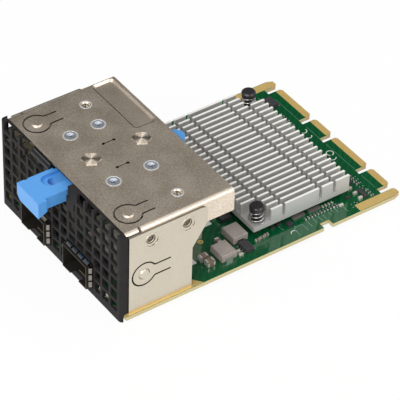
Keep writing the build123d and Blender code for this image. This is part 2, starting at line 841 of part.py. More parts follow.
def make_slide():
    """The blue release slide: head with a rounded lower corner, neck through the bezel's window, slotted bar
    and round tail."""
    head_left = slide_x - head_width / 2
    head_right = slide_x + head_width / 2
    head_rear = head_front + head_length
    front = rect(head_left, head_right + head_step, slide_top - head_thickness, slide_top)
    front = fillet(front.vertices().sort_by(Axis.Y)[:2].sort_by(Axis.X)[:1], head_round)
    head = front_view(front, head_front, head_length)
    taper = polygon([
        (head_front, slide_top - head_thickness - overrun),
        (head_front, slide_top - head_thickness),
        (head_rear, slide_bottom),
        (head_rear, slide_top - head_thickness - overrun),
    ])
    head -= side_view(taper, head_left - overrun, head_width + head_step + 2 * overrun)
    head += block(head_left, head_right, head_rear, bezel_depth - running_gap, slide_bottom, slide_top)
    bar_face = rect(slide_x - slide_half, slide_x + slide_half, head_rear - neck_inset, slide_rear)
    bar_face = fillet(bar_face.vertices().sort_by(Axis.Y)[-2:], tail_shoulder)
    bar = extrude(Pos(0, 0, slide_bottom) * bar_face, slide_thickness)
    tail_half = tail_width / 2
    tail_face = rect(slide_x - tail_half, slide_x + tail_half, slide_rear - head_length, tail_rear - tail_half)
    tail_face += Pos(slide_x, tail_rear - tail_half) * Circle(tail_half)
    tail = extrude(Pos(0, 0, slide_bottom) * tail_face, tail_top - slide_bottom)
    slide = head + bar + tail
    grip_x = slide_x - grip_offset
    slide -= extrude(Pos(0, 0, slide_top - grip_depth) * long_hole(grip_x, grip_y, grip_run, grip_radius),
                     grip_depth + overrun)
    through = slide_thickness + 2 * overrun
    grip_hole = Pos(grip_x, grip_y + grip_hole_step) * Circle(grip_hole_radius)
    slide -= extrude(Pos(0, 0, slide_bottom - overrun) * grip_hole, through)
    notch = Pos(head_left + grip_notch_depth - grip_notch_radius, head_rear) * Circle(grip_notch_radius)
    slide -= extrude(Pos(0, 0, slide_bottom - overrun) * notch, through)
    for y in stud_y:
        slot = long_hole(slide_x, y, slide_travel, stud_radius + running_gap)
        slide -= extrude(Pos(0, 0, slide_bottom - overrun) * slot, through)
    slide += block(channel_left + running_gap, slide_x - slide_half + neck_inset, lug_rear - lug_length, lug_rear,
                   slide_bottom, slide_top)
    return slide


def make_guide():
    """The black guide under the cover: two rails and a floor, with a round nose in the window."""
    inner = slide_half + running_gap
    body_front = bezel_depth + running_gap
    guide = block(guide_left, guide_right, body_front, guide_rear, guide_bottom, guide_top)
    nose_top = guide_nose_bottom + guide_nose_height
    nose_right = slide_x - head_half_window
    nose = block(guide_left, nose_right, guide_front, body_front, guide_nose_bottom, nose_top)
    guide += fillet([e for e in nose.edges().filter_by(Axis.X) if e.center().Y < body_front],
                    guide_nose_height * guide_nose_radius_share)
    guide += block(guide_left, nose_right, guide_front + guide_lip, body_front, guide_nose_bottom, guide_top)
    guide -= block(slide_x - inner, slide_x + inner, body_front - overrun, guide_rear + overrun,
                   guide_floor_top, guide_top + overrun)
    guide -= block(channel_left, slide_x, channel_front, guide_rear - sheet, guide_floor_top, guide_top + overrun)
    for x, y in screw_places:
        guide -= Pos(x, y, cover_height) * screw_seat()
    return guide


def coil(radius, wire, turns, length):
    """A helical spring of round wire about +Z from z = 0, its ends left open."""
    pitch = (length - wire) / turns
    path = Helix(pitch, length - wire, radius)
    start = path @ 0
    section = Plane(origin=start, z_dir=path % 0) * RegularPolygon(wire / 2, 6)
    return Pos(0, 0, wire / 2) * sweep(section, path)


def make_return_spring():
    """The spring that pushes the slide's lug back after a pull."""
    spring = coil(coil_radius, coil_wire, coil_turns, lug_rear - lug_length - channel_front)
    x = (channel_left + slide_x - slide_half - running_gap) / 2
    return Pos(x, channel_front, slide_bottom + slide_thickness / 2) * Rot(-90, 0, 0) * spring


def make_stud(y):
    """A hexagonal clinch stud: head flush in the cover, shank down through the slide's slot."""
    head = extrude(Pos(slide_x, y, cover_under) * RegularPolygon(stud_flats / 2, 6, major_radius=False), stud_head)
    top_edges = head.faces().sort_by(Axis.Z)[-1].edges()
    head = chamfer(top_edges, stud_head - sheet)
    return head + round_bar(stud_radius, slide_x, y, guide_floor_top + seat_clearance, cover_under)


def make_screw(x, y):
    """A flat-head screw with a cross recess."""
    head = Pos(0, 0, -screw_head / 2) * Cone(screw_radius, screw_head_radius, screw_head)
    head = chamfer(head.faces().sort_by(Axis.Z)[-1].edges(), screw_rim)
    shank = Pos(0, 0, -screw_length / 2) * Cylinder(screw_radius, screw_length)
    half_arm = screw_recess_width / 2
    cross = rect(-half_arm, half_arm, -screw_recess / 2, screw_recess / 2)
    cross += rect(-screw_recess / 2, screw_recess / 2, -half_arm, half_arm)
    cut = extrude(Pos(0, 0, -screw_recess_depth) * cross, screw_recess_depth + overrun)
    cut += Pos(0, 0, -screw_dish_depth / 2) * Cone(screw_recess / 2, screw_dish_radius, screw_dish_depth)
    return Pos(x, y, cover_height) * (head + shank - cut)


def make_foot_screws():
    """Four screws that hold the side plates' feet from below the board."""
    screws = []
    for side in (-1, 1):
        for y in foot_centres:
            x = side * foot_screw_x
            head = round_bar(foot_screw_head_radius, x, y, -foot_screw_head, 0)
            slot = Pos(x, y, -foot_screw_head) * Box(foot_screw_head_radius, screw_recess, foot_screw_head)
            shank = round_bar(foot_screw_radius - seat_clearance, x, y, -foot_screw_head / 2, foot_screw_length)
            screws.append((head - slot + shank).solid())
    return Compound(children=screws)


def make_heat_sink():
    """An extruded comb of fins, cross-cut four times, with two corners cleared for the pins."""
    half = sink_width / 2
    points = [(sink_x - half, sink_bottom), (sink_x - half, sink_top)]
    for k in range(fin_count):
        x = sink_x - half + k * fin_pitch
        if k:
            points += [(x, sink_base_top), (x, sink_top)]
        points.append((x + fin_thickness, sink_top))
        if k < fin_count - 1:
            points.append((x + fin_thickness, sink_base_top))
    points.append((sink_x + half, sink_bottom))
    sink = front_view(polygon(points), sink_y - sink_length / 2, sink_length)
    above = sink_top + overrun
    for share in cross_cut_shares:
        for y in (sink_y - share * sink_length / 2, sink_y + share * sink_length / 2):
            sink -= block(sink_x - half - overrun, sink_x + half + overrun, y - cross_cut_width / 2,
                          y + cross_cut_width / 2, sink_base_top, above)
    cleared = pocket_fins * fin_pitch
    depth = (1 - cross_cut_shares[-1]) * sink_length / 2
    for (x, y), side in zip(pin_places, (1, -1)):
        end = sink_y - side * (sink_length / 2 + overrun)
        inner = sink_y - side * (sink_length / 2 - depth)
        sink -= span(sink_x + side * (half + overrun), sink_x + side * (half - cleared), min(end, inner),
                     max(end, inner), sink_base_top, above)
        sink -= round_bar(pin_stem_radius + seat_clearance, x, y, sink_bottom - overrun, above)
    return sink


def make_push_pin(x, y):
    """A nylon push pin: round cap, stem with a collar on the heat sink, and a split barb under the board."""
    half_barb = pin_barb_radius - pin_stem_radius
    profile = Polyline(
        (0, -pin_barb_length),
        (pin_stem_radius - half_barb, -pin_barb_length),
        (pin_barb_radius, -half_barb),
        (pin_barb_radius, 0),
        (pin_stem_radius, 0),
        (pin_stem_radius, sink_base_top + seat_clearance),
        (pin_collar_radius, sink_base_top + seat_clearance),
        (pin_collar_radius, sink_base_top + pin_collar_height),
        (pin_stem_radius, sink_base_top + pin_collar_height),
        (pin_stem_radius, pin_top - pin_cap_height),
        (pin_cap_radius, pin_top - pin_cap_height),
        (pin_cap_radius, pin_top - half_barb),
        (pin_cap_radius - half_barb, pin_top),
        (0, pin_top),
        close=True,
    )
    pin = revolve(Plane.XZ * make_face(profile), Axis.Z)
    slit = block(-pin_split / 2, pin_split / 2, -pin_barb_radius - overrun, pin_barb_radius + overrun,
                 -pin_barb_length - overrun, board_thickness)
    return Pos(x, y, 0) * (pin - slit)


def make_pin_spring(x, y):
    """The spring between a pin's cap and the heat sink's base."""
    length = pin_top - pin_cap_height - sink_base_top
    return Pos(x, y, sink_base_top) * coil(pin_coil_radius, pin_wire, pin_turns, length)


def make_controller():
    """The network controller: a square package with a smaller lid on top."""
    low = block(sink_x - chip_side / 2, sink_x + chip_side / 2, sink_y - chip_side / 2, sink_y + chip_side / 2,
                board_top, board_top + chip_substrate)
    lid = block(sink_x - chip_die_side / 2, sink_x + chip_die_side / 2, sink_y - chip_die_side / 2,
                sink_y + chip_die_side / 2, board_top + chip_substrate, pad_bottom)
    return low + lid


def make_thermal_pad():
    """The soft pad between the controller and the heat sink."""
    half = thermal_pad_side / 2
    return block(sink_x - half, sink_x + half, sink_y - half, sink_y + half, pad_bottom, sink_bottom)


def make_inductor_core(x, y):
    """A pressed power inductor's core, standing on its leads."""
    half = inductor_width / 2
    body = block(x - half, x + half, y - inductor_length / 2, y + inductor_length / 2,
                 board_top + inductor_lead_thickness, board_top + inductor_height)
    return chamfer(body.faces().sort_by(Axis.Z)[-1].edges(), inductor_chamfer)


def make_inductor_leads():
    """Tinned leads, each flat under a core's end and folded up its side."""
    leads = []
    for x, y in inductor_places:
        for side in (-1, 1):
            end = x + side * inductor_width / 2
            inner = end - side * inductor_lead / 2
            outer = end + side * inductor_lead_thickness
            y0 = y - inductor_lead / 2
            lead = span(inner, outer, y0, y0 + inductor_lead, board_top, board_top + inductor_lead_thickness)
            lead += span(end, outer, y0, y0 + inductor_lead, board_top, board_top + inductor_height / 2)
            leads.append(lead.solid())
    return Compound(children=leads)


def make_chip_body(x, y, size):
    """The moulded body of a leaded chip."""
    width, length, height = size
    return block(x - width / 2, x + width / 2, y - length / 2, y + length / 2, board_top + chip_body_gap,
                 board_top + height)


def make_leads(place, size):
    """Bent leads along a chip's front and rear sides, each butting on the body."""
    x, y = place
    width, length, height = size
    shoulder = board_top + height / 2
    leads = []
    for side in (-1, 1):
        root = side * length / 2
        knee = root + side * chip_lead_length / 3
        toe = root + side * chip_lead_length
        back = knee - side * chip_lead_thickness
        top = shoulder - chip_lead_thickness
        foot = board_top + chip_lead_thickness
        outline = polygon([(root, shoulder), (knee, shoulder), (knee, foot), (toe, foot), (toe, board_top),
                           (back, board_top), (back, top), (root, top)])
        for k in range(chip_lead_count):
            centre = x + (k - (chip_lead_count - 1) / 2) * chip_lead_pitch
            leads.append(Pos(0, y, 0) * side_view(outline, centre - chip_lead_width / 2, chip_lead_width))
    return [lead.solid() for lead in leads]


def make_rows(rows):
    """Small parts set in straight rows on the board, each a solid of its own."""
    parts = []
    for (width, length, height), count, x_share, y_share, x_step, y_step in rows:
        for k in range(count):
            x = (x_share + k * x_step) * board_half
            y = (y_share + k * y_step) * board_length
            parts.append(block(x - width / 2, x + width / 2, y - length / 2, y + length / 2,
                               board_top, board_top + height))
    return Compound(children=parts)


def make_underside_capacitors():
    """Rows of capacitors under the controller, on the board's lower face."""
    parts = []
    length, width, height = tiny_across
    for row in range(under_rows):
        for column in range(under_columns):
            x = sink_x + (column - (under_columns - 1) / 2) * under_pitch
            y = sink_y + (row - (under_rows - 1) / 2) * under_pitch
            parts.append(block(x - width / 2, x + width / 2, y - length / 2, y + length / 2, -height, 0))
    return Compound(children=parts)


def main():
    os.makedirs("parts", exist_ok=True)
    save("circuit_board", make_board())
    save("contact_fingers", make_fingers())
    save("edge_plating", make_edge_plating())
    save("front_bezel", make_bezel())
    save("top_cover", make_cover())
    save("side_plate_right", make_side_plate(1))
    save("side_plate_left", make_side_plate(-1))
    for name, x in zip(("left", "right"), cage_centres):
        save(f"port_cage_{name}", make_cage(x))
        save(f"port_connector_{name}", make_port_connector(x))
        save(f"grounding_spring_{name}", make_grounding_spring(x))
    save("release_slide", make_slide())
    save("slide_guide", make_guide())
    save("return_spring", make_return_spring())
    for name, y in zip(("front", "rear"), stud_y):
        save(f"guide_stud_{name}", make_stud(y))
    save("cover_screws", Compound(children=[make_screw(x, y).solid() for x, y in screw_places]))
    save("foot_screws", make_foot_screws())
    save("heat_sink", make_heat_sink())
    save("thermal_pad", make_thermal_pad())
    save("network_controller", make_controller())
    for name, (x, y) in zip(("near", "far"), pin_places):
        save(f"push_pin_{name}", make_push_pin(x, y))
        save(f"pin_spring_{name}", make_pin_spring(x, y))
    for name, (x, y) in zip(("rear", "front"), inductor_places):
        save(f"power_inductor_{name}", make_inductor_core(x, y))
    save("inductor_leads", make_inductor_leads())
    chips = (("power_chip", power_chip_place, power_chip_size), ("flash_chip", flash_chip_place, flash_chip_size))
    for name, (x, y), size in chips:
        save(name, make_chip_body(x, y, size))
    save("chip_leads", Compound(children=[lead for name, place, size in chips for lead in make_leads(place, size)]))
    save("tan_capacitors", make_rows(tan_row_shares))
    save("pale_capacitors", make_rows(pale_row_shares))
    save("chip_resistors", make_rows(resistor_row_shares))
    save("resistor_arrays", make_rows(array_row_shares))
    save("small_chips", make_rows(chip_row_shares))
    save("underside_capacitors", make_underside_capacitors())
    save("port_lights", make_leds())


if __name__ == "__main__":
    main()
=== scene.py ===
"""Dresses the server network card: finishes for every part, the small details of its board, springs and
threads, and a plain studio round it."""

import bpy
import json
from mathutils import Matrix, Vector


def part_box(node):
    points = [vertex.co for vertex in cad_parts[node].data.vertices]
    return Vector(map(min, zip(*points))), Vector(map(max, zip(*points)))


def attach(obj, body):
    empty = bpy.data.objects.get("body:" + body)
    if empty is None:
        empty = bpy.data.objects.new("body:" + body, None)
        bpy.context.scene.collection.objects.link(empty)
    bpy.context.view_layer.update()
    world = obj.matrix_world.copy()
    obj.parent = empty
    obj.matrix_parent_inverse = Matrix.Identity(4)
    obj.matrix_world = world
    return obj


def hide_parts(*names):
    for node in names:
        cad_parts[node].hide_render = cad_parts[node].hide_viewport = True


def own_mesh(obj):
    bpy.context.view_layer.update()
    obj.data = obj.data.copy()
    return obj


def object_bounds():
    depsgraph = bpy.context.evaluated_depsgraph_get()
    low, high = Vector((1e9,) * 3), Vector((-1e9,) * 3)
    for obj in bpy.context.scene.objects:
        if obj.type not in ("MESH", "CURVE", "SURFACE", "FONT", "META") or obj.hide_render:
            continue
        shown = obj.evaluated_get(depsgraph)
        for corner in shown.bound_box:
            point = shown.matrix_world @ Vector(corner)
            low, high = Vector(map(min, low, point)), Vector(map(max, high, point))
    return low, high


bl_info = {
    "name": "Network card dressing",
    "version": (1, 0, 0),
    "blender": (4, 5, 0),
    "location": "3D View > Sidebar > Network card",
    "description": "Finishes, board details and a plain studio for a server network card",
    "category": "Object",
}

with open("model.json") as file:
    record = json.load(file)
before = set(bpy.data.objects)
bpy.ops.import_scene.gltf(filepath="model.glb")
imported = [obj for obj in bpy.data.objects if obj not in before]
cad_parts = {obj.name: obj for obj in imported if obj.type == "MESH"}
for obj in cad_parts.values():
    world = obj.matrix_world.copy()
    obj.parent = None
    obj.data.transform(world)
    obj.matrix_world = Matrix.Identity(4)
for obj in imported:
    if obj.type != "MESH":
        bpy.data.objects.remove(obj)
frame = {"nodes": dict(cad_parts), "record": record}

import json
import math

import bpy
import numpy as np
from bpy.props import FloatProperty, FloatVectorProperty, IntProperty, PointerProperty
from mathutils import Matrix

CAD_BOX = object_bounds()
MM = 0.001
SETTINGS = "network_card"
X, Y, Z = range(3)
FULL_TURN = 2 * np.pi
WHITE = (1.0, 1.0, 1.0, 1.0)


# Settings

def linear(text):
    """An sRGB hex colour as linear red, green, blue and alpha."""
    share = np.array([int(text[k:k + 2], 16) for k in (1, 3, 5)]) / 255
    value = np.where(share <= 0.04045, share / 12.92, ((share + 0.055) / 1.055) ** 2.4)
    return (*value, 1.0)


def colour(text, name, description):
    """A colour property whose default is an sRGB hex colour."""
    return FloatVectorProperty(name=name, description=description, subtype="COLOR", size=4, min=0, max=1,
                               default=linear(text))


def number(value, name, description, **limits):
    """A number property."""
    return FloatProperty(name=name, description=description, default=value, **limits)


def length(value, name, description):
    """A length property whose default is given in millimetres."""
    return number(value * MM, name, description, unit="LENGTH", precision=5, min=0)


def angle(value, name, description):
    """An angle property whose default is given in degrees."""
    return number(np.radians(value), name, description, subtype="ANGLE")


def count(value, name, description, least, most):
    """A whole number property."""
    return IntProperty(name=name, description=description, default=value, min=least, max=most)


class CardColours(bpy.types.PropertyGroup):
    """Colours of the card's finishes."""
    steel_low: colour("#DACAB6", "Cover sheet, dull", "Dull grains of the cover's zinc coat")
    steel_high: colour("#F4E7D6", "Cover sheet, bright", "Bright grains of the cover's zinc coat")
    plate_low: colour("#D0C7B5", "Side sheet, dull", "Dull grains of the side plates' zinc coat")
    plate_high: colour("#D8CFBE", "Side sheet, bright", "Bright grains of the side plates' zinc coat")
    # bare steel on sheared edges, and painted shade: the same dark colour is painted in the slots, in the
    # tapped holes' throats and in a thin line along the side plates' top edge
    sheared_and_shaded: colour("#5A534A", "Sheared edges", "Bare steel where the sheet was sheared through its coat")
    burnished: colour("#DEDFDE", "Coined rims", "Zinc coat burnished by a tool")
    thread: colour("#D0CBC2", "Threads", "Bare steel of the cut threads")
    # painted shadow: a dark line along the pressed pocket's edge, where its step is in shade
    crease: colour("#6F675D", "Crease", "Rubbed zinc coat along the pressed pocket's edge")
    zinc: colour("#E2E7EF", "Screws", "Bright blue zinc plating on the screws")
    # painted shade: the dark colour down in the screws' cross recess
    recess_shade: colour("#74777E", "Screw recess", "Thin dark plating down in the screws' recess")
    nickel: colour("#CFC9BC", "Cages", "Nickel plated cage sheet")
    # painted shade: the dark nickel colour inside the cages and at their mouths
    shaded_nickel: colour("#4A463F", "Cage mouths", "Nickel sheet inside the cages and at their mouths")
    sprung: colour("#98928A", "Grounding springs", "Nickel plated spring bronze")
    spring: colour("#D8D6D2", "Springs", "Bright spring steel and tin")
    mask: colour("#03502B", "Solder mask", "Green lacquer over bare laminate")
    mask_light: colour("#085E35", "Solder mask over traces", "Green lacquer over copper traces")
    field: colour("#4E7A60", "Solder mask over copper", "Green lacquer over wide copper fields")
    laminate: colour("#D2C48C", "Laminate", "Sawn edge of the glass fibre laminate")
    tongue_end: colour("#C4A466", "Tongue ends", "Laminate between the gold contacts")
    gold: colour("#EBCB80", "Gold", "Gold plating of the contacts and edge strips")
    ink: colour("#EDF2EA", "Printed marks", "White ink on the board")
    faint_ink: colour("#6E9A80", "Fine lines", "Thin worn ink lines on the board")
    bezel: colour("#2E2C2C", "Bezel", "Moulded black plastic")
    guide: colour("#1B1B1D", "Guide", "Smooth black plastic")
    slide: colour("#5CA5EC", "Release slide", "Moulded blue plastic")
    aluminium: colour("#D0CFCC", "Heat sink", "Extruded aluminium")
    # a brighter colour, not metallic, on the fins' top faces
    fin_top: colour("#F3F1EB", "Fin tops", "Freshly cut tops of the fins")
    core: colour("#A89E96", "Inductors", "Pressed iron powder cores")
    chip: colour("#39373A", "Chips", "Moulded epoxy of the chips")
    array: colour("#77706A", "Arrays", "Glazed tops of the resistor arrays")
    tan: colour("#84725E", "Tan capacitors", "Fired ceramic, tan")
    pale: colour("#CFC7B0", "Pale capacitors", "Fired ceramic, cream")
    pin: colour("#2C2A2C", "Push pins", "Moulded black pins")
    light: colour("#E6E9D8", "Port lights", "Clear cast resin")
    pad: colour("#6F747C", "Thermal pad", "Soft filled pad")


class CardSizes(bpy.types.PropertyGroup):
    """Sizes of the details that the card's dressing adds."""
    thread_pitch: length(0.5, "Thread pitch", "Pitch of the threads in the tapped holes")
    thread_height: length(0.14, "Thread height", "How far a thread stands into its hole")
    dimple_height: length(0.45, "Dimple height", "How far the sheets' dimples stand above their faces")
    rim_radius: length(0.27, "Rim width", "Half the width of the coined rims round the holes")
    cover_rim: length(1.95, "Cover hole rim", "Radius of the rims round the cover's tapped holes")
    plate_rim: length(2.75, "Side hole rim", "Radius of the rims round the side plates' tapped holes")
    crease_width: length(0.28, "Crease width", "Width of the crease along the cover's pocket")
    pin_wire: length(0.22, "Pin spring wire", "Radius of the wire round the push pins")
    pin_coil: length(2.85, "Pin spring coil", "Radius of the coil at the foot of the push pins")
    pin_taper: length(0.6, "Pin spring taper", "How much narrower the coil is under the pins' caps")
    pin_turns: count(3, "Pin spring turns", "Turns of the springs round the push pins", 1, 12)
    return_wire: length(0.2, "Return spring wire", "Radius of the return spring's wire")
    return_play: length(0.1, "Return spring play", "Gap between the return spring and the slide's lug")
    return_turns: count(8, "Return spring turns", "Turns of the return spring", 2, 30)
    coil_steps: count(40, "Coil steps", "Steps in one turn of a coil", 8, 96)
    cap_length_share: number(0.24, "End cap share", "Share of a small part's length under its tinned end",
                             min=0.05, max=0.45)
    cap_skin: length(0.02, "End cap skin", "Thickness of the tin on a small part's ends")
    print_height: length(0.02, "Print height", "How far the printed lines stand on the board")
    fine_width: length(0.12, "Fine lines", "Width of the long thin lines on the board")
    stroke_width: length(0.25, "Strokes", "Width of the short strokes beside the heat sink")
    arc_width: length(0.3, "Arcs", "Width of the printed arcs")
    via_radius: length(0.26, "Via radius", "Outer radius of a tinned via")
    via_rise: length(0.04, "Via rise", "How far a tinned via stands on the board")


class CardStudio(bpy.types.PropertyGroup):
    """The plain studio round the card."""
    floor_height: length(0, "Floor height", "Distance of the floor under the card's lowest point")
    floor_size: number(6.0, "Floor size", "Side of the floor", unit="LENGTH")
    paper: colour("#F8F7F5", "Floor", "Pale paint of the floor")
    white_share: number(0.93, "Floor white", "Share of plain white that the camera and mirrors see in it")
    sky_level: number(0.62, "Sky level", "Even light from all round")
    ceiling_level: number(0.03, "Ceiling level", "How bright metal sees the ceiling's dark side")
    key_power: number(9.0, "Key power", "Power of the large soft lamp in watts")
    edge_power: number(2.0, "Edge power", "Power of the small soft lamp in watts")
    azimuth: angle(53.77, "Camera azimuth", "Camera angle round the card")
    elevation: angle(40.56, "Camera elevation", "Camera angle above the floor")
    roll: angle(1.94, "Camera roll", "Turn of the camera about its own axis")
    distance: length(857.54, "Camera distance", "From the card's middle back to the camera")
    shift_right: length(9.64, "Camera shift right", "How far the camera stands right of the card's middle")
    shift_down: length(8.15, "Camera shift down", "How far the camera stands below the card's middle")
    lens: number(227.403, "Lens", "Focal length in millimetres on a 36 mm sensor")


def settings():
    """The card's own settings on the scene."""
    return getattr(bpy.context.scene, SETTINGS)


# Places on the card

def tapped_holes(axis=None):
    """The record's tapped holes, or those that point along an axis."""
    holes = [mount for mount in frame["record"]["mounts"]
             if mount["kind"] == "threaded_hole" and (axis is None or abs(mount["axis"][axis]) == 1)]
    if not holes:
        raise RuntimeError("The record has no such threaded holes")
    return holes


def face_level(node, axis):
    """How far along an axis the flat face of a dimpled sheet lies, below the tops of its dimples."""
    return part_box(node)[1][axis] - settings().sizes.dimple_height


def board_top():
    """The height of the circuit board's upper face."""
    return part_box("circuit_board")[1][Z]


def solid_boxes(name):
    """The lowest and highest corner of each separate solid in a CAD node, as two arrays. Corners that share
    a place take the lowest label among their triangles' corners until no label changes."""
    same_place = 0.001 * MM
    mesh = frame["nodes"][name].data
    places = np.empty(len(mesh.vertices) * 3)
    mesh.vertices.foreach_get("co", places)
    places = places.reshape(-1, 3)
    loops = np.empty(len(mesh.loops), dtype=np.int64)
    mesh.loops.foreach_get("vertex_index", loops)
    _, corner = np.unique(np.round(places / same_place), axis=0, return_inverse=True)
    triangles = corner.reshape(-1)[loops].reshape(-1, 3)
    label = np.arange(triangles.max() + 1)
    while True:
        lowest = label.copy()
        np.minimum.at(lowest, triangles.reshape(-1), np.repeat(label[triangles].min(axis=1), 3))
        if (lowest == label).all():
            break
        label = lowest
    groups, which = np.unique(label[corner.reshape(-1)], return_inverse=True)
    low = np.full((len(groups), 3), np.inf)
    high = -low
    np.minimum.at(low, which, places)
    np.maximum.at(high, which, places)
    return low, high


# Nodes and materials

def add(tree, kind, options=None, values=None, links=None):
    """Adds one node with its options, input values and links from other nodes' outputs."""
    node = tree.nodes.new(kind)
    for key, value in (options or {}).items():
        setattr(node, key, value)
    for key, value in (values or {}).items():
        node.inputs[key].default_value = value
    for key, socket in (links or {}).items():
        tree.links.new(socket, node.inputs[key])
    return node


def start(name, metallic, roughness, values=None):
    """A new material: (material, tree, its surface shader, object coordinates)."""
    material = bpy.data.materials.new(name)
    material.use_nodes = True
    tree = material.node_tree
    tree.nodes.clear()
    shader = add(tree, "ShaderNodeBsdfPrincipled",
                 values={"Metallic": metallic, "Roughness": roughness, **(values or {})})
    add(tree, "ShaderNodeOutputMaterial", links={"Surface": shader.outputs[0]})
    return material, tree, shader, add(tree, "ShaderNodeTexCoord").outputs["Object"]


def feed(tree, node, links):
    """Links other nodes' outputs to a node's named inputs."""
    for key, socket in links.items():
        tree.links.new(socket, node.inputs[key])


def split(tree, vector):
    """The coordinates of a vector, in the order X, Y, Z."""
    return add(tree, "ShaderNodeSeparateXYZ", links={"Vector": vector}).outputs


def noise(tree, coords, grain, detail=2.0):
    """Noise whose blots are about grain metres across."""
    return add(tree, "ShaderNodeTexNoise", values={"Scale": 1 / grain, "Detail": detail},
               links={"Vector": coords}).outputs["Fac"]


def ramp(tree, factor, low, high):
    """A smooth 0 to 1 step as the factor goes from low to high."""
    return add(tree, "ShaderNodeMapRange", options={"interpolation_type": "SMOOTHSTEP"},
               values={"From Min": low, "From Max": high}, links={"Value": factor}).outputs[0]


def between(tree, factor, first, last, low=0.0, high=1.0):
    """A value that goes from first to last as the factor goes from low to high."""
    return add(tree, "ShaderNodeMapRange", values={"From Min": low, "From Max": high, "To Min": first,
                                                   "To Max": last}, links={"Value": factor}).outputs[0]


def blend(tree, factor, first, second):
    """A colour mixed from first to second by the factor; each is a colour or another node's output."""
    node = add(tree, "ShaderNodeMix", options={"data_type": "RGBA"}, links={0: factor})
    for slot, value in ((6, first), (7, second)):
        if isinstance(value, bpy.types.NodeSocket):
            tree.links.new(value, node.inputs[slot])
        else:
            node.inputs[slot].default_value = value
    return node.outputs[2]


def combine(tree, operation, first, *others):
    """Values joined by one operation after another; all but the first may be numbers."""
    for other in others:
        node = add(tree, "ShaderNodeMath", options={"operation": operation}, links={0: first})
        if isinstance(other, bpy.types.NodeSocket):
            tree.links.new(other, node.inputs[1])
        else:
            node.inputs[1].default_value = other
        first = node.outputs[0]
    return first


def unsigned(tree, value):
    """A value without its sign."""
    return add(tree, "ShaderNodeMath", options={"operation": "ABSOLUTE"}, links={0: value}).outputs[0]


def weighted(tree, first, second, share):
    """A share of the first value and the rest of the second."""
    return combine(tree, "ADD", combine(tree, "MULTIPLY", first, share),
                   combine(tree, "MULTIPLY", second, 1 - share))


def relief(tree, shader, height, depth, strength=1.0):
    """Roughens the shader's surface by a height pattern that is depth metres deep."""
    bump = add(tree, "ShaderNodeBump", values={"Strength": strength, "Distance": depth},
               links={"Height": height})
    feed(tree, shader, {"Normal": bump.outputs[0]})


def distance_to(tree, coords, axis, points):
    """The distance to the nearest of these points, measured square to an axis."""
    kept = tuple(0.0 if i == axis else 1.0 for i in range(3))
    flat = add(tree, "ShaderNodeMapping", values={"Scale": kept}, links={"Vector": coords}).outputs[0]
    away = [add(tree, "ShaderNodeVectorMath", options={"operation": "DISTANCE"},
                values={1: tuple(v * k for v, k in zip(point, kept))}, links={0: flat}).outputs["Value"]
            for point in points]
    return combine(tree, "MINIMUM", *away)


def shade(value, factor):
    """A colour made lighter or darker by a factor."""
    return (*[min(1.0, part * factor) for part in value[:3]], 1.0)


def grainy(name, tint, dark=0.85, light=1.0, grain=0.3, metallic=0.0, roughness=0.4, spread=0.08, depth=0.01,
           values=None):
    """A finish of fine grain between a darker and a lighter shade of a colour, with its roughness and relief
    from the same grain. Grain and depth are in millimetres."""
    broad_grains, fine_share = 14, 0.7
    dark_below, light_above = 0.35, 0.65
    material, tree, shader, coords = start(name, metallic, roughness, values)
    fine = noise(tree, coords, grain * MM)
    broad = noise(tree, coords, grain * MM * broad_grains, 1.0)
    mixed = weighted(tree, fine, broad, fine_share)
    tone = blend(tree, ramp(tree, mixed, dark_below, light_above), shade(tint, dark), shade(tint, light))
    feed(tree, shader, {"Base Color": tone,
                        "Roughness": between(tree, mixed, roughness - spread, roughness + spread)})
    relief(tree, shader, fine, depth * MM)
    return material


def zinc_coated_sheet(name, dull, bright, depth, node, axis, limits, mouth, shaded_throat):
    """Cold rolled steel sheet with an electroplated zinc coat: a speckle of dull and bright grains about half
    a millimetre across under broad cloudy patches, satin gloss. The walls of its slots were sheared through
    the coat, so they are dull, and their dark colour is also painted shade. The throat of each tapped hole,
    out past its bore, is painted dark as shade. The pressed mouth of a hole is rubbed smooth. The node's face
    is square to the axis. Each limit is an axis and two distances from its zero: at the first an edge is
    still bright, and from the second on it is dark."""
    coat, coat_fade, back, back_fade = 0.05 * MM, 0.07 * MM, 0.78 * MM, 0.06 * MM
    hole_fade, rubbed = 0.1 * MM, 0.3 * MM
    speckle_grain, cloud_grain, speckle_share = 0.42 * MM, 9 * MM, 0.8
    dull_below, bright_above = 0.40, 0.60
    smooth, rough, polish = 0.31, 0.42, 0.4
    material, tree, shader, coords = start(name, 0.95, 0.36)
    out = [unsigned(tree, value) for value in split(tree, coords)]
    near = distance_to(tree, coords, axis, [hole["pos_m"] for hole in tapped_holes(axis)])
    level = face_level(node, axis)
    walls = [ramp(tree, out[axis], level - coat, level - coat - coat_fade),
             ramp(tree, out[axis], level - back, level - back + back_fade),
             ramp(tree, near, mouth, mouth + hole_fade)]
    walls += [ramp(tree, out[side], past, within) for side, past, within in limits]
    # painted shade: the sheared walls and each hole's throat take a dark colour that stands in for the shade
    # in them
    cut_and_shade = combine(tree, "MAXIMUM", combine(tree, "MULTIPLY", *walls),
                  ramp(tree, near, shaded_throat, shaded_throat - hole_fade))
    speckle = noise(tree, coords, speckle_grain, 3.0)
    cloud = noise(tree, coords, cloud_grain, 1.0)
    grains = ramp(tree, weighted(tree, speckle, cloud, speckle_share), dull_below, bright_above)
    zinc = blend(tree, grains, dull, bright)
    gloss = combine(tree, "MULTIPLY", between(tree, cloud, smooth, rough),
                    between(tree, near, polish, 1.0, mouth - rubbed, mouth))
    feed(tree, shader, {"Base Color": blend(tree, cut_and_shade, zinc, settings().colours.sheared_and_shaded), "Roughness": gloss})
    relief(tree, shader, speckle, depth)
    return material


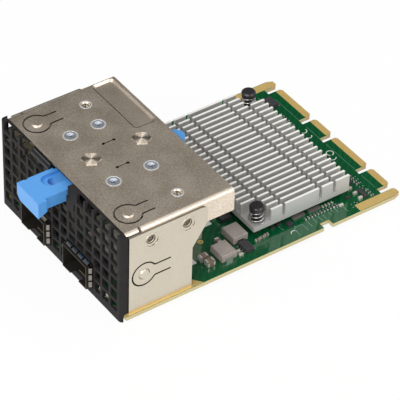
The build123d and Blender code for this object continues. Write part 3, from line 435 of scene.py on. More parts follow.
def plated_screws(c):
    """Steel screws with bright zinc plating, and painted shade down in the cross recess."""
    recess_top, recess_radius, fade = 0.4 * MM, 0.75 * MM, 0.15 * MM
    recess_floor, floor_fade = 1.0 * MM, 0.1 * MM
    material, tree, shader, coords = start("bright_zinc_plating", 0.8, 0.25)
    low, high = solid_boxes("cover_screws")
    top = high[:, Z].max()
    nearest = distance_to(tree, coords, Z, (low + high) / 2)
    height = split(tree, coords)[Z]
    # painted shade in the cross recess: darker below its top and inside its radius
    recess_shade = combine(tree, "MULTIPLY", ramp(tree, height, top - recess_top, top - recess_top - fade),
                     ramp(tree, height, top - recess_floor, top - recess_floor + floor_fade),
                     ramp(tree, nearest, recess_radius, recess_radius - fade))
    grain = noise(tree, coords, 0.3 * MM)
    plating = blend(tree, grain, shade(c.zinc, 0.85), c.zinc)
    feed(tree, shader, {"Base Color": blend(tree, recess_shade, plating, c.recess_shade)})
    relief(tree, shader, grain, 0.004 * MM)
    return material


def turned_steel(c, name):
    """Steel turned on a lathe: fine rings round the centre that spread the light into a bright bow."""
    ring_pitch, ring_depth, grain = 0.9 * MM, 0.05 * MM, 0.3 * MM
    material, tree, shader, coords = start(f"turned_steel_{name}", 1.0, 0.45,
                                           {"Anisotropic": 0.95, "Anisotropic Rotation": 0.25})
    round_axis = add(tree, "ShaderNodeTangent", options={"direction_type": "RADIAL", "axis": "Z"})
    centre = [(a + b) / 2 for a, b in zip(*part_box(name))]
    placed = add(tree, "ShaderNodeMapping", values={"Location": [-v for v in centre]},
                 links={"Vector": coords})
    rings = add(tree, "ShaderNodeTexWave", options={"wave_type": "RINGS", "rings_direction": "Z"},
                values={"Scale": 1 / ring_pitch, "Distortion": 0.3}, links={"Vector": placed.outputs[0]})
    steel = blend(tree, noise(tree, coords, grain), shade(c.steel_low, 0.85), c.steel_high)
    feed(tree, shader, {"Base Color": steel, "Tangent": round_axis.outputs[0]})
    relief(tree, shader, rings.outputs["Fac"], ring_depth)
    return material


def lacquered_board(c):
    """Glass fibre laminate under green solder mask: glossy green with faint lighter traces, sawn edges
    of bare pale laminate, and tan laminate between the contacts at the tongues' ends."""
    trace_pitch, trace_depth, trace_patch, weave = 5 * MM, 0.02 * MM, 3 * MM, 0.25 * MM
    bare_end, fade = 2.5 * MM, 0.05 * MM
    upright, level = 0.4, 0.6
    material, tree, shader, coords = start("lacquered_board", 0.0, 0.1, {"IOR": 1.7})
    traces = add(tree, "ShaderNodeTexWave", options={"wave_type": "BANDS", "bands_direction": "DIAGONAL"},
                 values={"Scale": 1 / trace_pitch, "Distortion": 6.0, "Detail": 1.0, "Detail Scale": 0.4},
                 links={"Vector": coords})
    lines = ramp(tree, traces.outputs["Fac"], 0.62, 0.72)
    shown = combine(tree, "MULTIPLY", lines, noise(tree, coords, trace_patch))
    green = blend(tree, shown, c.mask, c.mask_light)
    normal = add(tree, "ShaderNodeTexCoord").outputs["Normal"]
    flat = ramp(tree, unsigned(tree, split(tree, normal)[Z]), upright, level)
    fibre = blend(tree, noise(tree, coords, weave), shade(c.laminate, 0.82), c.laminate)
    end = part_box("circuit_board")[1][Y] - bare_end
    tip = ramp(tree, split(tree, coords)[Y], end - fade, end + fade)
    feed(tree, shader, {"Base Color": blend(tree, tip, blend(tree, flat, fibre, green), c.tongue_end)})
    relief(tree, shader, lines, trace_depth, 0.5)
    return material


def rolled_nickel_sheet(c, name):
    """Nickel plated copper alloy sheet, rolled and folded to a box: bright satin outside behind the bezel,
    and a dark colour of painted shade inside and at the mouth."""
    skin, fade = 0.12 * MM, 0.06 * MM
    mouth_end, bright_start = 6 * MM, 8 * MM
    material, tree, shader, coords = start(f"rolled_nickel_sheet_{name}", 0.7, 0.4)
    low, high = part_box(name)
    middle, half = (low[X] + high[X]) / 2, (high[X] - low[X]) / 2
    x, y, z = split(tree, coords)
    beside = combine(tree, "SUBTRACT", unsigned(tree, combine(tree, "SUBTRACT", x, middle)), half - skin)
    above = combine(tree, "SUBTRACT", z, high[Z] - skin)
    behind = combine(tree, "SUBTRACT", y, high[Y] - skin)
    out = combine(tree, "MAXIMUM", beside, above, behind)
    outside = combine(tree, "MULTIPLY", ramp(tree, out, -fade, 0.0), ramp(tree, y, mouth_end, bright_start))
    grain = noise(tree, coords, 0.5 * MM)
    bright = blend(tree, grain, shade(c.nickel, 0.85), c.nickel)
    # painted shade: the darker copy of the nickel for the inside and the mouth
    dull = blend(tree, grain, shade(c.shaded_nickel, 0.8), c.shaded_nickel)
    feed(tree, shader, {"Base Color": blend(tree, outside, dull, bright),
                        "Metallic": between(tree, outside, 0.7, 0.3)})
    relief(tree, shader, grain, 0.01 * MM)
    return material


def cut_aluminium(c):
    """Extruded aluminium with a clear finish, sawn across: satin grey walls drawn along the fins, and a
    brighter colour, not metallic, on the fins' top faces."""
    streak_width, streak_share = 0.35 * MM, 0.06
    wall_top, fin_edge = 0.12 * MM, 0.02 * MM
    material, tree, shader, coords = start("cut_aluminium", 0.4, 0.5)
    streaks = add(tree, "ShaderNodeMapping", values={"Scale": (1.0, streak_share, 1.0)},
                  links={"Vector": coords})
    drawn = noise(tree, streaks.outputs[0], streak_width)
    wall = blend(tree, drawn, shade(c.aluminium, 0.86), c.aluminium)
    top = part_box("heat_sink")[1][Z]
    high = ramp(tree, split(tree, coords)[Z], top - wall_top, top - fin_edge)
    feed(tree, shader, {"Base Color": blend(tree, high, wall, c.fin_top),
                        "Metallic": between(tree, high, 0.4, 0.0)})
    relief(tree, shader, drawn, 0.01 * MM)
    return material


def put(material, *names):
    """Gives the material to the CAD nodes with these names."""
    for name in names:
        node = frame["nodes"][name]
        node.data.materials.clear()
        node.data.materials.append(material)


# Surfaces

def mesh_object(name, parts, material, smooth=True):
    """One object from several point grids. Each grid is (points, wrap along the first side, wrap along the
    second side); neighbouring points are joined by four-sided faces, and an open end of a wrapped grid is
    closed by one face."""
    points = []
    faces = []
    total = 0
    for grid, wrap_a, wrap_b in parts:
        a, b = grid.shape[:2]
        index = total + np.arange(a * b).reshape(a, b)
        rows = np.arange(a if wrap_a else a - 1)
        columns = np.arange(b if wrap_b else b - 1)
        i, j = np.meshgrid(rows, columns, indexing="ij")
        quads = np.stack([index[i, j], index[(i + 1) % a, j], index[(i + 1) % a, (j + 1) % b],
                          index[i, (j + 1) % b]], axis=-1).reshape(-1, 4)
        faces += quads.tolist()
        if wrap_b and not wrap_a:
            faces += [index[0].tolist(), index[-1][::-1].tolist()]
        points.append(grid.reshape(-1, 3))
        total += a * b
    mesh = bpy.data.meshes.new(name)
    mesh.from_pydata(np.concatenate(points).tolist(), [], faces)
    mesh.polygons.foreach_set("use_smooth", np.full(len(mesh.polygons), smooth))
    mesh.materials.append(material)
    mesh.update()
    piece = bpy.data.objects.new(name, mesh)
    bpy.context.scene.collection.objects.link(piece)
    return piece


def circle(steps):
    """Angles at even steps once round."""
    return np.linspace(0, FULL_TURN, steps, endpoint=False)


def around(centre, axis, out, along, t):
    """Points that lie out from an axis and along it by these distances, at the angle t round it."""
    axis = np.array(axis, float)
    across = np.roll(axis, 1)
    return (np.array(centre) + along[..., None] * axis + (out * np.cos(t))[..., None] * across
            + (out * np.sin(t))[..., None] * np.cross(axis, across))


def coil(centre, axis, radius, wire, pitch, turns, steps, sides=8, taper=0.0):
    """A wire wound round an axis. At angle t and wire angle s the point lies radius + wire * cos(s) out
    from the axis, less a share of the taper that grows with t, and pitch * t / (2 pi) + wire * sin(s)
    along it."""
    t = np.linspace(0, FULL_TURN * turns, int(steps * turns) + 1)[:, None]
    s = circle(sides)[None, :]
    out = radius + wire * np.cos(s) - taper * t / t.max()
    along = pitch * t / FULL_TURN + wire * np.sin(s)
    return around(centre, axis, out, along, t), False, True


def rim(centre, axis, radius, bead, steps=40, sides=10):
    """A round bead sunk in a sheet: at angle t round the axis and s round the bead the point lies
    radius + bead * cos(s) out from the axis and a third of bead * sin(s) along it."""
    t = circle(steps)[:, None]
    s = circle(sides)[None, :]
    return around(centre, axis, radius + bead * np.cos(s), bead / 3 * np.sin(s) + 0 * t, t), True, True


def ribbon(path, width, bottom, height):
    """A flat printed line: a low rectangle of this width carried along a path of (x, y) points."""
    path = np.array(path, float)
    run = np.gradient(path, axis=0)
    run /= np.linalg.norm(run, axis=1, keepdims=True)
    side = np.stack([-run[:, 1], run[:, 0]], axis=1) * width / 2
    left, right = path + side, path - side
    low = np.full((len(path), 1), bottom)
    corners = [np.hstack([right, low]), np.hstack([right, low + height]),
               np.hstack([left, low + height]), np.hstack([left, low])]
    return np.stack(corners, axis=1), False, True


def arc_path(x, y, radius, first, last, steps=12):
    """Points on an arc round (x, y) from the first to the last angle in degrees."""
    t = np.radians(np.linspace(first, last, steps))
    return np.stack([x + radius * np.cos(t), y + radius * np.sin(t)], axis=1)


def end_sleeve(low, high, share, skin, at_start):
    """A tinned end: a rounded square cross section, |y|^n + |z|^n = 1, carried along the part's long side
    over one share of its length, a skin outside it, and drawn in at both rims."""
    roundness = 0.25
    bulge_start_share, bulge_end_share = 0.06, 0.94
    size = high - low
    long_side = int(np.argmax(size[:2]))
    other = 1 - long_side
    t = circle(16)
    ring = np.stack([np.cos(t), np.sin(t)])
    square = np.abs(ring) ** roundness * np.sign(ring)
    half = size / 2 + skin
    reach = size[long_side] * share
    along = np.array([-skin, -skin, bulge_start_share * reach, bulge_end_share * reach, reach])
    width_share = np.array([0.82, 0.9, 1.0, 1.0, 0.97])
    grid = np.empty((len(along), len(t), 3))
    base = low[long_side] + along if at_start else high[long_side] - along
    grid[..., long_side] = base[:, None]
    middle = (low + high) / 2
    grid[..., other] = middle[other] + half[other] * width_share[:, None] * square[0]
    grid[..., Z] = middle[Z] + half[Z] * width_share[:, None] * square[1]
    turned = (long_side == X) != at_start
    return (grid if turned else grid[:, ::-1]), False, True


def dome(x, y, z, radius, rise, sides=12):
    """A low round bead: rings whose radius falls by the cosine and whose height rises by the sine."""
    top_share = 0.9
    t = circle(sides)[None, :]
    a = np.linspace(0, np.pi / 2 * top_share, 3)[:, None]
    grid = np.stack([x + radius * np.cos(a) * np.cos(t), y + radius * np.cos(a) * np.sin(t),
                     z + rise * np.sin(a) + 0 * t], axis=-1)
    return grid[:, ::-1], False, True


def on_card(piece, slot, *replaced):
    """The piece belongs to the card and may stand for CAD nodes; the slot is not used."""
    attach(piece, "card")
    if replaced:
        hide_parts(*replaced)


# One operator for each piece or group of like pieces

class CARD_OT_sheet_metal(bpy.types.Operator):
    """Finish the cover and the side plates"""
    bl_idname = "card.sheet_metal"
    bl_label = "Sheet metal"

    def execute(self, context):
        c = settings().colours
        # the bent sides, the pressed pocket, the feet and most of the plates' top edge keep their coat; the
        # rest of the top edge takes a thin line of painted shadow in the gap under the cover
        bends, pocket = (X, 34.2 * MM, 34.0 * MM), (Y, 32.5 * MM, 32.0 * MM)
        feet, top_edge = (Z, 2.0 * MM, 2.5 * MM), (Z, 34.06 * MM, 33.9 * MM)
        put(zinc_coated_sheet("zinc_coated_cover", c.steel_low, c.steel_high, depth=0.014 * MM,
                              node="top_cover", axis=Z, limits=(bends, pocket), mouth=2.2 * MM,
                              shaded_throat=1.2 * MM), "top_cover")
        put(zinc_coated_sheet("zinc_coated_plates", c.plate_low, c.plate_high, depth=0.004 * MM,
                              node="side_plate_right", axis=X, limits=(feet, top_edge), mouth=3.2 * MM,
                              shaded_throat=1.8 * MM), "side_plate_left", "side_plate_right")
        return {"FINISHED"}


class CARD_OT_studs_and_screws(bpy.types.Operator):
    """Finish the guide studs, the cover's screws and the foot screws"""
    bl_idname = "card.studs_and_screws"
    bl_label = "Studs and screws"

    def execute(self, context):
        c = settings().colours
        for name in ("guide_stud_front", "guide_stud_rear"):
            put(turned_steel(c, name), name)
        put(plated_screws(c), "cover_screws", "foot_screws")
        return {"FINISHED"}


class CARD_OT_coined_rims(bpy.types.Operator):
    """Raise the coined rims round the screws and the tapped holes"""
    bl_idname = "card.coined_rims"
    bl_label = "Coined rims"

    def execute(self, context):
        s = settings().sizes
        top, outer = face_level("top_cover", Z), face_level("side_plate_right", X)
        seat_share, press_share = 0.3, 1.5
        coined = []
        for low, high in zip(*solid_boxes("cover_screws")):
            centre = (*((low[:2] + high[:2]) / 2), top)
            radius = (high[X] - low[X]) / 2 + seat_share * s.rim_radius
            coined.append(rim(centre, (0, 0, 1), radius, s.rim_radius))
        for hole in tapped_holes(Z):
            coined.append(rim((*hole["pos_m"][:2], top), (0, 0, 1), s.cover_rim, s.rim_radius))
        pressed = []
        for hole in tapped_holes(X):
            x, y, z = hole["pos_m"]
            side = math.copysign(1.0, x)
            pressed.append(rim((side * outer, y, z), (side, 0, 0), s.plate_rim, press_share * s.rim_radius))
        # the coat is burnished where the tool pressed it, so the rims shine
        zinc = grainy("burnished_rim", settings().colours.burnished, dark=0.773, grain=0.4, metallic=0.35,
                      roughness=0.26, depth=0.002)
        on_card(mesh_object("coined_rims", coined, zinc), "bare_steel")
        sheet = frame["nodes"]["side_plate_right"].data.materials[0]
        on_card(mesh_object("pressed_rims", pressed, sheet), "bare_steel")
        return {"FINISHED"}


class CARD_OT_pocket_crease(bpy.types.Operator):
    """Draw a painted shadow line along the front and the end of the cover's pressed pocket, where its step is
    in shade
    """
    bl_idname = "card.pocket_crease"
    bl_label = "Pocket crease"

    def execute(self, context):
        s, c = settings().sizes, settings().colours
        # the painted shadow line runs from the left along the pocket's front edge, round its corner and up
        # its end
        left, end, front, rear, corner = (place * MM for place in (-33.6, -7.4, 35.1, 42.6, 1.2))
        turn = arc_path(end - corner, front + corner, corner, -90, 0)
        path = np.concatenate([np.linspace((left, front), turn[0], 6)[:-1], turn,
                               np.linspace(turn[-1], (end, rear), 4)[1:]])
        line = ribbon(path, s.crease_width, face_level("top_cover", Z) - s.print_height, 2 * s.print_height)
        # painted shadow: a dark metal line where the pocket's step is in shade
        zinc = grainy("painted_crease_shadow", c.crease, grain=0.4, metallic=1.0, depth=0.004)
        on_card(mesh_object("pocket_crease", [line], zinc, smooth=False), "bare_steel")
        return {"FINISHED"}


class CARD_OT_tap_threads(bpy.types.Operator):
    """Wind the threads in the tapped holes of the cover and the side plates"""
    bl_idname = "card.tap_threads"
    bl_label = "Tap threads"

    def execute(self, context):
        s = settings().sizes
        parts = []
        for hole in tapped_holes():
            axis = np.array(hole["axis"], float)
            radius = hole["dims"]["r_mm"] * MM
            span = hole["dims"]["length_mm"] * MM - s.thread_pitch
            foot = np.array(hole["pos_m"]) - axis * span / 2
            parts.append(coil(foot, axis, radius, s.thread_height, s.thread_pitch, span / s.thread_pitch,
                              s.coil_steps, sides=6))
        steel = grainy("cut_steel_thread", settings().colours.thread, dark=0.375, grain=0.2, metallic=1.0,
                       roughness=0.3)
        on_card(mesh_object("tap_threads", parts, steel), "bare_steel")
        return {"FINISHED"}


class CARD_OT_bezel(bpy.types.Operator):
    """Finish the bezel, the slide's guide and the port lights"""
    bl_idname = "card.bezel"
    bl_label = "Bezel"

    def execute(self, context):
        c = settings().colours
        # glass filled nylon, moulded against a spark eroded tool: dull with a fine even grain
        put(grainy("moulded_black_nylon", c.bezel, dark=0.8, light=1.15, roughness=0.6, depth=0.012,
                   values={"Specular IOR Level": 0.08}), "front_bezel")
        # acetal, moulded smooth: near black, broad soft gloss
        put(grainy("smooth_black_acetal", c.guide, grain=0.6, roughness=0.24, spread=0.04, depth=0.003),
            "slide_guide")
        # cast clear resin, slightly milky
        put(grainy("milky_cast_resin", c.light, dark=0.9, grain=0.4, roughness=0.2, depth=0.002),
            "port_lights")
        return {"FINISHED"}


class CARD_OT_release_slide(bpy.types.Operator):
    """Finish the blue release slide"""
    bl_idname = "card.release_slide"
    bl_label = "Release slide"

    def execute(self, context):
        # moulded blue nylon: even colour, soft gloss and a very fine spark eroded skin
        put(grainy("moulded_blue_nylon", settings().colours.slide, dark=0.94, grain=0.25, roughness=0.36,
                   depth=0.006, values={"IOR": 1.53}), "release_slide")
        return {"FINISHED"}


class CARD_OT_return_spring(bpy.types.Operator):
    """Wind the slide's return spring, which a pull on the slide presses together"""
    bl_idname = "card.return_spring"
    bl_label = "Return spring"

    def execute(self, context):
        s, c = settings().sizes, settings().colours
        low, high = (np.array(v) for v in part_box("return_spring"))
        wire = s.return_wire
        free = high[Y] - low[Y] - 2 * wire - s.return_play
        foot = ((low[X] + high[X]) / 2, low[Y] + wire, (low[Z] + high[Z]) / 2)
        part = coil(foot, (0, 1, 0), (high[X] - low[X]) / 2 - wire, wire, free / s.return_turns,
                    s.return_turns, s.coil_steps)
        # music wire: drawn hard and bright, with darker grains than the tin
        steel = grainy("music_wire", c.spring, dark=0.6, grain=0.3, metallic=1.0, roughness=0.25)
        piece = mesh_object("wound_return_spring", [part], steel)
        on_card(piece, "nickel", "return_spring")
        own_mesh(piece)
        return {"FINISHED"}


class CARD_OT_port_cages(bpy.types.Operator):
    """Finish the port cages, their connectors and the grounding springs"""
    bl_idname = "card.port_cages"
    bl_label = "Port cages"

    def execute(self, context):
        c = settings().colours
        for name in ("port_cage_left", "port_cage_right"):
            put(rolled_nickel_sheet(c, name), name)
        # stamped spring bronze with bright nickel: nearly a mirror
        put(grainy("bright_nickel_spring", c.sprung, dark=0.8, grain=0.6, metallic=1.0, roughness=0.16,
                   spread=0.05, depth=0.004), "grounding_spring_left", "grounding_spring_right")
        # glass filled polymer: dark and dull, with no shine of its own
        put(grainy("glass_filled_polymer", c.chip, dark=0.8, grain=0.25, roughness=0.55),
            "port_connector_left", "port_connector_right")
        return {"FINISHED"}


class CARD_OT_circuit_board(bpy.types.Operator):
    """Finish the circuit board and its gold plating"""
    bl_idname = "card.circuit_board"
    bl_label = "Circuit board"

    def execute(self, context):
        c = settings().colours
        put(lacquered_board(c), "circuit_board")
        # electroplated gold over nickel: warm satin metal, slightly worn
        put(grainy("electroplated_gold", c.gold, dark=0.88, grain=0.5, metallic=0.5, roughness=0.45,
                   depth=0.004), "contact_fingers", "edge_plating")
        return {"FINISHED"}


class CARD_OT_copper_fields(bpy.types.Operator):
    """Lay the wide copper fields that show pale through the solder mask"""
    bl_idname = "card.copper_fields"
    bl_label = "Copper fields"

    def execute(self, context):
        s, c = settings().sizes, settings().colours
        # x from, x to, y from, y to, in millimetres
        fields = ((-36.0, -31.5, 56.0, 66.0), (-36.0, -32.0, 74.0, 90.0))
        parts = [ribbon(np.linspace(((x0 + x1) / 2, y0), ((x0 + x1) / 2, y1), 4) * MM, (x1 - x0) * MM,
                        board_top(), s.print_height / 2) for x0, x1, y0, y1 in fields]
        copper = grainy("lacquer_over_copper", c.field, dark=0.8, light=1.1, grain=0.8, roughness=0.3,
                        depth=0.004)
        on_card(mesh_object("copper_fields", parts, copper, smooth=False), "green_board")
        return {"FINISHED"}


class CARD_OT_board_marks(bpy.types.Operator):
    """Print the plain outline marks on the board"""
    bl_idname = "card.board_marks"
    bl_label = "Board marks"

    def execute(self, context):
        s, c = settings().sizes, settings().colours
        top, height = board_top(), s.print_height
        # straight lines as (x, y) to (x, y), in millimetres
        lines = (((2.1, 109.9), (18.9, 109.9)), ((23.0, 109.9), (30.6, 109.9)),
                 ((-28.2, 109.9), (-12.0, 109.9)), ((-8.9, 109.9), (-0.5, 109.9)),
                 ((20.4, 50.4), (20.4, 57.6)), ((35.0, 42.0), (35.0, 44.6)))
        strokes = (((31.7, 74.5), (33.4, 73.2)), ((33.4, 73.2), (36.5, 73.2)), ((32.5, 74.2), (32.5, 77.0)),
                   ((32.5, 77.0), (36.0, 77.0)), ((30.9, 79.3), (35.3, 79.3)), ((31.3, 81.8), (34.6, 81.8)),
                   ((31.9, 84.0), (34.7, 84.0)), ((32.2, 85.8), (34.8, 85.8)), ((32.2, 88.3), (34.2, 88.3)),
                   ((30.4, 91.2), (34.2, 91.2)), ((32.9, 94.3), (35.7, 94.3)))
        # arcs as centre x, centre y, radius, first and last angle
        arcs = ((-7.8, 107.6, 1.2, -60, 110), (-4.6, 107.4, 1.2, -70, 80), (7.2, 108.0, 1.3, 0, 330),
                (9.4, 107.2, 1.5, -40, 60), (34.6, 72.2, 1.2, 100, 260))
        # blank pale patches as x from, x to, y from, y to
        patches = ((9.6, 15.4, 47.0, 51.4), (23.2, 28.9, 31.0, 35.7))
        fine = [ribbon(np.linspace(a, b, 3) * MM, width, top, height)
                for group, width in ((lines, s.fine_width), (strokes, s.stroke_width)) for a, b in group]
        worn = grainy("worn_print_ink", c.faint_ink, dark=0.8, grain=0.3, roughness=0.5)
        on_card(mesh_object("fine_lines", fine, worn, smooth=False), "green_board")
        bold = [ribbon(arc_path(*arc) * MM, s.arc_width, top, height) for arc in arcs]
        bold += [ribbon(np.array([(x0, (y0 + y1) / 2), (x1, (y0 + y1) / 2)]) * MM, (y1 - y0) * MM, top,
                        height) for x0, x1, y0, y1 in patches]
        ink = grainy("screen_print_ink", c.ink, dark=0.8, grain=0.2, roughness=0.6)
        on_card(mesh_object("board_marks", bold, ink, smooth=False), "green_board")
        return {"FINISHED"}


class CARD_OT_vias(bpy.types.Operator):
    """Set the tinned vias that dot the board round the chips"""
    bl_idname = "card.vias"
    bl_label = "Vias"

    def execute(self, context):
        s, c = settings().sizes, settings().colours
        # centre x, centre y, columns, rows, pitch, in millimetres
        fields = ((32.0, 92.4, 2, 4, 1.2), (26.6, 107.2, 5, 2, 1.6), (-27.5, 105.5, 6, 3, 1.2),
                  (34.6, 100.0, 2, 4, 1.3), (30.0, 70.4, 4, 1, 0.9))
        # a via strays from its place in the field by a share of the pitch, in waves along columns and rows
        stray_share, column_wave, row_wave = 0.28, 7.3, 4.1
        parts = []
        for x, y, columns, rows, pitch in fields:
            i, j = np.meshgrid(np.arange(columns), np.arange(rows))
            stray = stray_share * np.sin(column_wave * i + row_wave * j)
            across = x + (i + stray - columns / 2) * pitch
            ahead = y + (j - stray - rows / 2) * pitch
            parts += [dome(a * MM, b * MM, board_top(), s.via_radius, s.via_rise)
                      for a, b in zip(across.ravel(), ahead.ravel())]
        tin = grainy("tinned_copper_via", c.spring, dark=0.7, grain=0.2, metallic=1.0, roughness=0.35)
        on_card(mesh_object("vias", parts, tin), "tinned")
        return {"FINISHED"}


class CARD_OT_heat_sink(bpy.types.Operator):
    """Finish the heat sink and its pad"""
    bl_idname = "card.heat_sink"
    bl_label = "Heat sink"

    def execute(self, context):
        c = settings().colours
        put(cut_aluminium(c), "heat_sink")
        # silicone filled with oxide powder: dull and soft
        put(grainy("filled_silicone_pad", c.pad, grain=0.4, roughness=0.7), "thermal_pad")
        return {"FINISHED"}


class CARD_OT_push_pins(bpy.types.Operator):
    """Finish the push pins and wind their springs"""
    bl_idname = "card.push_pins"
    bl_label = "Push pins"

    def execute(self, context):
        s, c = settings().sizes, settings().colours
        # moulded nylon: near black with a soft gloss
        put(grainy("black_moulded_pin", c.pin, grain=0.5, roughness=0.3, depth=0.005),
            "push_pin_near", "push_pin_far")
        # drawn spring steel: bright and smooth
        wire = grainy("bright_spring_wire", c.spring, dark=0.75, grain=0.4, metallic=1.0, roughness=0.2)
        for name in ("pin_spring_near", "pin_spring_far"):
            low, high = (np.array(v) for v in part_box(name))
            pitch = (high[Z] - low[Z] - 2 * s.pin_wire) / s.pin_turns
            foot = (*((low[:2] + high[:2]) / 2), low[Z] + s.pin_wire)
            part = coil(foot, (0, 0, 1), s.pin_coil, s.pin_wire, pitch, s.pin_turns, s.coil_steps,
                        taper=s.pin_taper)
            on_card(mesh_object(f"wound_{name}", [part], wire), "nickel", name)
        return {"FINISHED"}


class CARD_OT_chips(bpy.types.Operator):
    """Finish the chips, the inductors and their leads"""
    bl_idname = "card.chips"
    bl_label = "Chips and inductors"

    def execute(self, context):
        c = settings().colours
        # moulded epoxy: charcoal with a fine matt skin
        put(grainy("moulded_epoxy", c.chip, dark=0.8, light=1.2, grain=0.25, roughness=0.5),
            "power_chip", "flash_chip", "small_chips", "network_controller", "chip_resistors")
        # printed and fired glaze over ceramic: grey brown, a little glossy
        put(grainy("glazed_array", c.array, dark=0.7, grain=0.5, roughness=0.35), "resistor_arrays")
        # iron powder pressed in a die: dull warm grey with fine bright grains
        put(grainy("pressed_iron_powder", c.core, light=1.1, grain=0.22, roughness=0.6, depth=0.02),
            "power_inductor_front", "power_inductor_rear")
        # copper leads dipped in tin: bright, slightly uneven
        put(grainy("tinned_lead", c.spring, dark=0.75, grain=0.3, metallic=1.0, roughness=0.3),
            "inductor_leads", "chip_leads")
        return {"FINISHED"}


class CARD_OT_small_parts(bpy.types.Operator):
    """Finish the small parts and put the tinned ends on them"""
    bl_idname = "card.small_parts"
    bl_label = "Small parts"

    def execute(self, context):
        s, c = settings().sizes, settings().colours
        # fired ceramic: tan or cream, smooth
        put(grainy("tan_ceramic", c.tan), "tan_capacitors", "underside_capacitors")
        put(grainy("cream_ceramic", c.pale, dark=0.88), "pale_capacitors")
        # ends dipped in tin: bright, rounded by the melt
        tin = grainy("dipped_tin", c.spring, dark=1.0, light=1.25, metallic=0.6, roughness=0.3)
        for name in ("tan_capacitors", "pale_capacitors", "chip_resistors", "underside_capacitors"):
            parts = [end_sleeve(low, high, s.cap_length_share, s.cap_skin, at_start)
                     for low, high in zip(*solid_boxes(name)) for at_start in (True, False)]
            on_card(mesh_object(f"tinned_ends_{name}", parts, tin, smooth=False), "tinned")
        return {"FINISHED"}


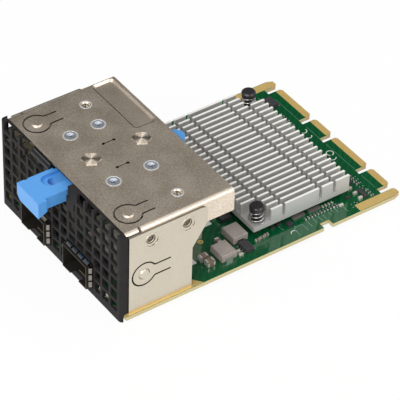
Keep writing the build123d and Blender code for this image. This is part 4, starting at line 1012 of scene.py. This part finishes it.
class CARD_OT_stage(bpy.types.Operator):
    """Set the floor, the soft light and the camera at the photo's angle"""
    bl_idname = "card.stage"
    bl_label = "Studio"

    def execute(self, context):
        st = settings().studio
        scene = context.scene
        scene.view_settings.view_transform = "Standard"
        self.floor(st)
        self.world(scene, st)
        # a large lamp in front of the card and above it, and a small one on its right that the cover's bent
        # edges mirror
        self.lamp("soft_key", (1.0, 0.8), st.key_power, place=(0.38, -0.78, 0.9))
        self.lamp("soft_edge", (0.45, 0.45), st.edge_power, place=(0.82, 0.56, 0.77))
        self.camera(scene, st)
        return {"FINISHED"}

    def floor(self, st):
        """A wide level floor: white to the camera and to mirrors, and pale to the light that falls on it."""
        speckle = 0.02
        half = st.floor_size / 2
        z = CAD_BOX[0][Z] - st.floor_height
        x, y = np.meshgrid(np.linspace(-half, half, 5), np.linspace(-half, half, 5), indexing="ij")
        grid = np.stack([x, y, np.full_like(x, z)], axis=-1)
        material, tree, shader, coords = start("painted_studio_floor", 0.0, 0.9)
        feed(tree, shader, {"Base Color": blend(tree, noise(tree, coords, speckle), shade(st.paper, 0.946),
                                                st.paper)})
        glow = add(tree, "ShaderNodeEmission", values={"Color": WHITE, "Strength": 1.0})
        ray = add(tree, "ShaderNodeLightPath").outputs
        seen = combine(tree, "MAXIMUM", ray["Is Camera Ray"], ray["Is Glossy Ray"],
                       ray["Is Transmission Ray"])
        mix = add(tree, "ShaderNodeMixShader", links={0: combine(tree, "MULTIPLY", seen, st.white_share),
                                                      1: shader.outputs[0], 2: glow.outputs[0]})
        output = next(n for n in tree.nodes if n.type == "OUTPUT_MATERIAL")
        feed(tree, output, {"Surface": mix.outputs[0]})
        mesh_object("studio_floor", [(grid, False, False)], material, smooth=False)

    def world(self, scene, st):
        """White to the camera; mirrors see white near the horizon, and a ceiling above it that grows from dim
        on the far left to white on the right."""
        warm = (1.0, 0.95, 0.89)
        rightward = (0.574, -0.26, 0.777)
        ceiling_dim, ceiling_white = -0.03, 0.52
        horizon_end, horizon_white = 0.35, 0.1
        far_side, near_side = -0.6, 0.0
        world = bpy.data.worlds.new("studio")
        world.use_nodes = True
        tree = world.node_tree
        tree.nodes.clear()
        direction = add(tree, "ShaderNodeTexCoord").outputs["Generated"]
        # dot product with the way from the card's far left to its near right, as the cover mirrors them
        towards = add(tree, "ShaderNodeVectorMath", options={"operation": "DOT_PRODUCT"},
                      values={1: rightward}, links={0: direction}).outputs["Value"]
        dim = shade(warm, st.ceiling_level)
        ceiling = blend(tree, ramp(tree, towards, ceiling_dim, ceiling_white), dim, WHITE)
        level = combine(tree, "MULTIPLY", ramp(tree, split(tree, direction)[Z], horizon_end, horizon_white),
                        ramp(tree, towards, far_side, near_side))
        seen_by_metal = blend(tree, level, ceiling, WHITE)
        ray = add(tree, "ShaderNodeLightPath").outputs
        light = blend(tree, ray["Is Glossy Ray"], shade(WHITE, st.sky_level), seen_by_metal)
        direct = combine(tree, "MAXIMUM", ray["Is Camera Ray"], ray["Is Transmission Ray"])
        back = add(tree, "ShaderNodeBackground", links={"Color": blend(tree, direct, light, WHITE)})
        add(tree, "ShaderNodeOutputWorld", links={"Surface": back.outputs[0]})
        scene.world = world

    def lamp(self, name, size, power, place):
        """A soft rectangular lamp at this place, turned towards the card."""
        data = bpy.data.lights.new(name, "AREA")
        data.shape = "RECTANGLE"
        data.size, data.size_y = size
        data.energy = power
        place = np.array(place)
        back = place / np.linalg.norm(place)
        right = np.cross((0, 0, 1), back)
        right /= np.linalg.norm(right)
        lamp = self.placed(name, data, right, np.cross(back, right), back, place)

    def camera(self, scene, st):
        """A long lens at the photo's angle, aimed at the middle of the card."""
        middle = np.array([0.0, 45.0, 15.0]) * MM
        az, el = st.azimuth, st.elevation
        back = np.array([np.sin(az) * np.cos(el), -np.cos(az) * np.cos(el), np.sin(el)])
        right = np.array([np.cos(az), np.sin(az), 0.0])
        up = np.cross(back, right)
        c, s = np.cos(st.roll), np.sin(st.roll)
        right, up = c * right + s * up, c * up - s * right
        place = middle + st.shift_right * right - st.shift_down * up + st.distance * back
        data = bpy.data.cameras.new("photo_camera")
        data.sensor_width = 36.0
        data.lens = st.lens
        data.clip_start, data.clip_end = 0.05, 20.0
        scene.camera = self.placed("photo_camera", data, right, up, back, place)

    @staticmethod
    def placed(name, data, right, up, back, place):
        """An object with this data, turned to these three axes and put in its place."""
        rows = np.identity(4)
        rows[:3] = np.stack([right, up, back, place], axis=1)
        piece = bpy.data.objects.new(name, data)
        bpy.context.scene.collection.objects.link(piece)
        piece.matrix_world = Matrix(rows.tolist())
        return piece


class CardSettings(bpy.types.PropertyGroup):
    """All settings of the card's dressing."""
    colours: PointerProperty(type=CardColours, name="Colours", description="Colours of the finishes")
    sizes: PointerProperty(type=CardSizes, name="Sizes", description="Sizes of the added details")
    studio: PointerProperty(type=CardStudio, name="Studio", description="Floor, light and camera")


PIECES = (CARD_OT_sheet_metal, CARD_OT_studs_and_screws, CARD_OT_coined_rims, CARD_OT_pocket_crease,
          CARD_OT_tap_threads, CARD_OT_bezel, CARD_OT_release_slide, CARD_OT_return_spring,
          CARD_OT_port_cages, CARD_OT_circuit_board, CARD_OT_copper_fields, CARD_OT_board_marks,
          CARD_OT_vias, CARD_OT_heat_sink, CARD_OT_push_pins, CARD_OT_chips, CARD_OT_small_parts,
          CARD_OT_stage)


class CARD_PT_dressing(bpy.types.Panel):
    """The card's settings and pieces in the sidebar"""
    bl_idname = "CARD_PT_dressing"
    bl_label = "Network card"
    bl_space_type = "VIEW_3D"
    bl_region_type = "UI"
    bl_category = "Network card"

    def draw(self, context):
        layout = self.layout
        for piece in PIECES:
            layout.operator(piece.bl_idname)
        for group in (settings().colours, settings().sizes, settings().studio):
            box = layout.box()
            for name in group.__annotations__:
                box.prop(group, name)


CLASSES = (CardColours, CardSizes, CardStudio, CardSettings, *PIECES, CARD_PT_dressing)


def register():
    for cls in CLASSES:
        bpy.utils.register_class(cls)
    setattr(bpy.types.Scene, SETTINGS, PointerProperty(type=CardSettings))


def unregister():
    delattr(bpy.types.Scene, SETTINGS)
    for cls in reversed(CLASSES):
        bpy.utils.unregister_class(cls)


def main():
    """Dresses the card piece by piece."""
    register()
    for piece in PIECES:
        group, name = piece.bl_idname.split(".")
        getattr(getattr(bpy.ops, group), name)()


if __name__ == "__main__":
    main()
